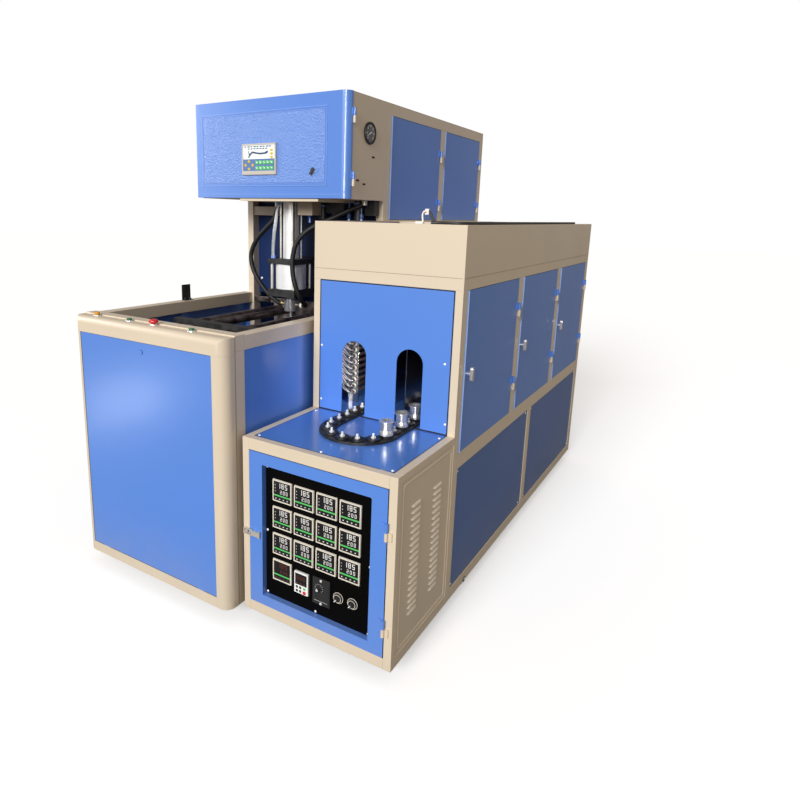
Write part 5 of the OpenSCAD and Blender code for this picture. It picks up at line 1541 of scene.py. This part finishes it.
@dataclass
class Controls(SubAssembly):
    """The control door: black panel, temperature controllers, keypad, speed unit and rotary switches."""

    body: str = "control_door"
    face: float = 21.0
    first_x: float = 141.0
    top_z: float = 676.0
    size: float = 94.0
    tall: float = 92.0
    step_x: float = 105.0
    step_z: float = 115.0
    rotary_z: float = 268.0
    rotary_turn: float = 40.0
    knob: Flat = (371.0, 280.0)

    @staticmethod
    def digit(shape: Shape, x: float, z: float, height: float, value: int, y: float) -> None:
        """Add one seven-bar digit.

        Args:
            shape: Where its bars go.
            x, z: Its lower left corner.
            height: Its height.
            value: The digit.
            y: Its face.
        """
        w, t = height * 0.54, height * 0.15
        bars = {"a": (0, w, height - t, height), "g": (0, w, (height - t) / 2, (height + t) / 2),
                "d": (0, w, 0, t), "f": (0, t, height / 2, height), "b": (w - t, w, height / 2, height),
                "e": (0, t, 0, height / 2), "c": (w - t, w, 0, height / 2)}
        lit = ("abcdef", "bc", "abged", "abgcd", "fgbc", "afgcd", "afgedc", "abc", "abcdefg", "abcdfg")[value]
        for a0, a1, b0, b1 in (bars[bar] for bar in lit):
            shape.box(x + a0 + 0.2, x + a1 - 0.2, y - 0.5, y + 0.2, z + b0 + 0.2, z + b1 - 0.2)

    def controller(self, top: float) -> dict[str, tuple[str, Shape]]:
        """Return the shapes of the first controller of a row with their finishes, by the names of their pieces."""
        x, y, z0 = self.first_x, self.face, top - self.tall
        x1, face = x + self.size, y - 6.4
        case = Shape().box(x, x1, y - 5.0, y, z0, top, 1.6)
        for a0, a1, b0, b1 in border(x, x1, z0, top, 1, 6, 6, 6):
            case.box(a0, a1, y - 7.8, y - 4.6, b0, b1, 0.9)
        glass = Shape().box(x + 6, x1 - 6, face, y - 4.6, z0 + 6, top - 6, 0.3)
        keys, white = Shape(), Shape()
        for left in (x + 18.6 * k for k in range(4)):
            keys.box(left + 11, left + 24.6, y - 7.2, face, z0 + 9, z0 + 19, 1.2)
            white.box(left + 15, left + 20, y - 7.6, y - 7.1, z0 + 12.5, z0 + 16)
        for k, (upper, lower) in enumerate(((1, 2), (8, 0), (5, 0))):
            white.box(x + 12, x + 15, face - 0.4, face, z0 + 42 + 13 * k, z0 + 45 + 13 * k)
            self.digit(white, x + 27 + 17 * k, top - 33, 22, upper, face)
            self.digit(white, x + 38 + 14 * k, z0 + 36, 16, lower, face)
        green = Shape().box(x + 6.5, x1 - 6.5, face - 0.4, face, z0 + 24, z0 + 30, 0.2)
        return {"controller_cases": ("bezel_grey", case), "controller_glass": ("face_dark", glass),
                "controller_keys": ("matte_black", keys), "controller_digits": ("digit_white", white),
                "controller_bars": ("bar_green", green)}

    def controllers(self) -> None:
        """Copy the controller in three rows of four, and once more below."""
        for name, (finish, shape) in self.controller(self.top_z).items():
            self.shop.grid(name, shape, finish, (4, (self.step_x, 0, 0)), (3, (0, 0, -self.step_z)), self.body,
                           ("controllers",) if name == "controller_cases" else ())
        for name, (finish, shape) in self.controller(self.top_z - 3 * self.step_z).items():
            self.piece(name + "_low", shape, "digit_red" if finish == "digit_white" else finish)

    def keypad(self) -> None:
        """Make the drive keypad with its window, keys and red stop key."""
        y = self.face
        top, foot = y - 12.6, y - 10.6
        self.piece("keypad_case", Shape().box(252.4, 319.6, y - 11, y, 224.4, 317.6, 2.2), "keypad_white")
        self.piece("keypad_window", Shape().box(258, 314, y - 11.8, foot, 263, 311, 0.5), "face_dark")
        self.shop.grid("keypad_keys", Shape().box(262, 272, top, foot, 231, 241, 1.0), "matte_black",
                       (2, (16, 0, 0)), (2, (0, 0, 16.5)), self.body)
        self.piece("keypad_start", Shape().box(297, 309, top, foot, 247, 257, 1.0), "bar_green")
        red = Shape().lathe(Axis.Y, (303, y, 235), (
            (0, -10.6), (7.6, -10.6), (7.6, -12), (6.6, -12.8), (0, -12.8)), 24)
        self.piece("keypad_stop", red, "red_cap")
        digits = Shape()
        for k, value in enumerate((5, 0, 0)):
            self.digit(digits, 266 + 15 * k, 285, 17, value, y - 11.8)
            digits.box(264 + 17 * k, 272 + 17 * k, y - 12.2, y - 11.7, 268, 272)
        self.piece("keypad_digits", digits, "digit_red")

    def speed_unit(self) -> None:
        """Make the speed unit, its scale and its knob."""
        y = self.face
        x, z = self.knob
        case = Shape().box(339.4, 420.6, y - 8, y, 209.4, 322.6, 2.4).box(343, 417, y - 9.2, y - 7.6, 213, 319, 0.8)
        self.piece("speed_case", case, "matte_black")
        marks = Shape()
        for k in range(11):
            marks.prism(Axis.Y, y - 9.5, y - 9.0, ray(x, z, -135 + 27 * k, 15.5, 19, 0.5))
        marks.box(350, 410, y - 9.5, y - 9.0, 226, 227)
        self.piece("speed_scale", marks, "digit_white")
        bright = Shape()
        for at in (217, 315):
            bright.lathe(Axis.Y, (380, y, at), ((0, -9.1), (5.4, -9.1), (5.2, -10.6), (3.4, -11.4), (0, -11.6)), 22)
        self.piece("speed_screws", bright, "bright_screw")
        knob = Shape().lathe(Axis.Y, (x, y - 10.2, z), ((0, 0), (12.8, 0), (13, -1), (12.2, -3), (9.6, -3.8),
                                                        (9.2, -12.6), (8.4, -13.8), (0, -14)), 36)
        self.piece("speed_knob_turned", knob, "matte_black", "speed_knob", ("speed_knob",))
        cap = Shape().lathe(Axis.Y, (x, y - 24.3, z), ((0, 0), (5.4, 0), (5.2, -0.5), (0, -0.5)), 24)
        cap.box(x - 1.2, x + 1.2, y - 24.7, y - 24.3, z + 1, z + 8.6)
        self.piece("speed_knob_cap", cap, "bright_screw", "speed_knob")

    def rotary(self, node: str, x: float) -> None:
        """Make one rotary switch: a black base on the door with two thin bright rings that are painted highlights,
        and a black handle that turns.
        """
        y, z, turn = self.face, self.rotary_z, self.rotary_turn
        base = Shape().lathe(Axis.Y, (x, y, z), (
            (12.4, 0), (22, 0), (22, -2.6), (17, -3.4), (16.6, -9), (12.4, -9), (12.4, 0)), 40)
        self.piece(node + "_base", base, "matte_black")
        # Two thin light grey rings on the black base: painted highlights on its skirt.
        ring = Shape()
        for r, at in ((22.4, -2.4), (16.4, -8.8)):
            ring.lathe(Axis.Y, (x, y, z), (
                (r - 1.6, at), (r, at), (r, at - 0.9), (r - 1.6, at - 1.1), (r - 1.6, at)), 40)
        self.piece(node + "_ring", ring, "bezel_grey")
        grip = Shape().lathe(Axis.Y, (x, y - 4.2, z), ((0, 0), (12, 0), (12, -3.2), (11.4, -4), (0, -4)), 36)
        grip.prism(Axis.Y, y - 17.2, y - 7.4, ray(x, z, turn, -11.4, 11.4, 3.8), 1.3)
        self.piece(node + "_grip", grip, "matte_black", node, (node,))
        mark = Shape().prism(Axis.Y, y - 17.6, y - 17.2, ray(x, z, turn, -15, -2, 1.8))
        self.piece(node + "_mark", mark, "keypad_white", node)

    def build(self) -> None:
        """Make the control door."""
        self.soften(("control_door", "blue_coat", 1.4), ("control_panel", "panel_black", 0.5))
        self.controllers()
        self.keypad()
        self.speed_unit()
        self.rotary("rotary_switch_left", 456)
        self.rotary("rotary_switch_right", 520)
        self.shop.screws("panel_screws", ((x, self.face, z) for x, z in (
            (110, 718), (590, 718), (110, 444), (590, 444), (110, 167), (590, 167), (350, 167))), FACES_FRONT,
            body=self.body)
        self.soften(("door_latch", "zinc_plate", 0.8))


@dataclass
class OvenDoors(SubAssembly):
    """The three oven doors and their turning handles."""

    edge_y: float = 536.5
    handle_y: float = 576.0
    handle_z: float = 1074.0
    step: float = 721.5

    def handle(self, node: str, y: float) -> None:
        """Make one oval cast handle on its round neck."""
        z = self.handle_z
        shape = Shape().lathe(Axis.X, (0, y, z), (
            (0, 700.4), (11, 700.4), (11, 702.4), (9, 703), (9, 715), (0, 715)), 30)
        outline = []
        for s, start in ((1, 0.0), (-1, math.pi)):
            outline += arc(y, z + s * 20.5, 10, (start + math.pi * k / 10 for k in range(11)))
        shape.prism(Axis.X, 714, 727, outline, 3.2)
        self.piece(node + "_cast", shape, "turned_steel", node, (node,))

    def build(self) -> None:
        """Make doors and handles."""
        for number in (1, 2, 3):
            along = self.step * (number - 1)
            door = f"oven_door_{number}"
            self.soften((door, "blue_coat", 1.2))
            self.shop.door_lip(door, 700, self.edge_y + along, 743, 1416)
            self.handle(f"oven_handle_{number}", self.handle_y + along)


@dataclass
class Casters(SubAssembly):
    """Forks and wheels under the heater."""

    radius: float = 25.0
    wheels: tuple[Flat, ...] = ((60, 322), (640, 322), (60, 2395), (640, 2395))

    def wheel(self, node: str, x: float, y: float) -> None:
        """Make one wheel: rubber tread on a bright hub."""
        centre = (x, y, self.radius)
        tread = Shape().lathe(Axis.X, centre, (
            (16, -9.6), (22.4, -10), (24.4, -8.4), (25, -4), (25, 4), (24.4, 8.4), (22.4, 10), (16, 9.6),
            (16, -9.6)), 40)
        self.piece(node + "_tread", tread, "wheel_rubber", node, (node,))
        hub = Shape().lathe(Axis.X, centre, (
            (4.2, -10), (8, -10), (8.4, -7), (15.8, -6), (15.8, 6), (8.4, 7), (8, 10), (4.2, 10), (4.2, -10)), 32)
        self.piece(node + "_hub", hub, "zinc_plate", node)

    def build(self) -> None:
        """Make forks and wheels."""
        self.soften(("caster_fork_left", "zinc_plate", 0.8), ("caster_fork_right", "zinc_plate", 0.8))
        for number, (x, y) in enumerate(self.wheels, 1):
            self.wheel(f"caster_wheel_{number}", x, y)


@dataclass
class HoodTop(SubAssembly):
    """The white connector and its short wires on the hood's front edge."""

    def build(self) -> None:
        """Make connector and wires."""
        block = Shape().box(478.4, 511.6, 488.4, 503.6, 1666, 1676, 1.5).box(517, 534, 490, 502, 1701, 1724, 2.0)
        self.piece("hood_connector", block, "ceramic_white")
        self.piece("hood_connector_mark", Shape().box(518, 525, 489.6, 502.4, 1708, 1713, 0.5), "red_cap")
        for name, radius, finish, routes in (
                ("hood_wire_white", 3.8, "ceramic_white",
                 (((509, 496, 1674), (506, 496, 1690), (506, 496, 1702), (510, 496, 1712), (519, 496, 1714)),)),
                ("hood_wires_black", 3.4, "matte_black",
                 (((531, 494, 1716), (540, 494, 1711), (550, 495, 1694), (558, 496, 1680), (574, 497, 1671)),
                  ((531, 498, 1708), (538, 498, 1702), (546, 499, 1686), (555, 499, 1675), (574, 499, 1670))))):
            self.shop.wires(name, [smooth_path(route) for route in routes], radius, finish)


@dataclass
class SeamShades(SubAssembly):
    """Painted shade in the joints round doors and panels, as dark strips: axis, its two limits, the rectangle's
    four, and the width.
    """

    rows: tuple[tuple[Axis, tuple[float, ...]], ...] = (
        (Axis.Y, (-73.4, -68, -900, -88, 113, 1154, 1.2)), (Axis.Y, (1, 8, 33, 666, 111, 778, 1.2)),
        (Axis.Y, (482.6, 483.4, 33.2, 666.8, 826.4, 1416.8, 4.6)), (Axis.Z, (825.6, 826.3, 33, 667, 33, 482, 2.4)),
        (Axis.X, (-9, -1.6, 1145, 1750, 1672, 2187, 1.2)), (Axis.X, (-9, -1.6, 1812, 2376, 1672, 2187, 1.2)),
        (Axis.X, (691, 698.4, 536, 1188, 742, 1417, 1.2)), (Axis.X, (691, 698.4, 1257.5, 1909.5, 742, 1417, 1.2)),
        (Axis.X, (691, 698.4, 1979, 2631, 742, 1417, 1.2)),
        (Axis.X, (695.8, 696.4, 536, 1529, 118, 672, 2.0)), (Axis.X, (695.8, 696.4, 1589, 2631, 118, 672, 2.0)))

    def build(self) -> None:
        """Line each joint with four thin dark strips of painted shade, and add one upright strip at the tub's right
        front edge.
        """
        shape = Shape()
        for axis, (low, high, a, b, c, d, width) in self.rows:
            shape.frame(axis, low, high, (a, b, c, d), width)
        shape.box(-23.6, -22.6, -10.8, -9, 66, 1222)
        self.piece("gap_shade_lines", shape, "gap_shade_dark")


def main() -> None:
    """Build the whole set."""
    logging.basicConfig(level=logging.INFO, format="%(name)s: %(message)s")
    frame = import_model()
    shop = Workshop(frame)
    Studio().build()
    for cord in CORDS:
        cord.build()
    for part in (Tub, HeadBox, Cabinet, BlowStation, Clamp, HeaterBody, Oven, Chain, Controls, OvenDoors, Casters,
                 HoodTop, SeamShades):
        part(shop).build()
    LOG.info("%d pieces", shop.count)


if __name__ == "__main__":
    main()
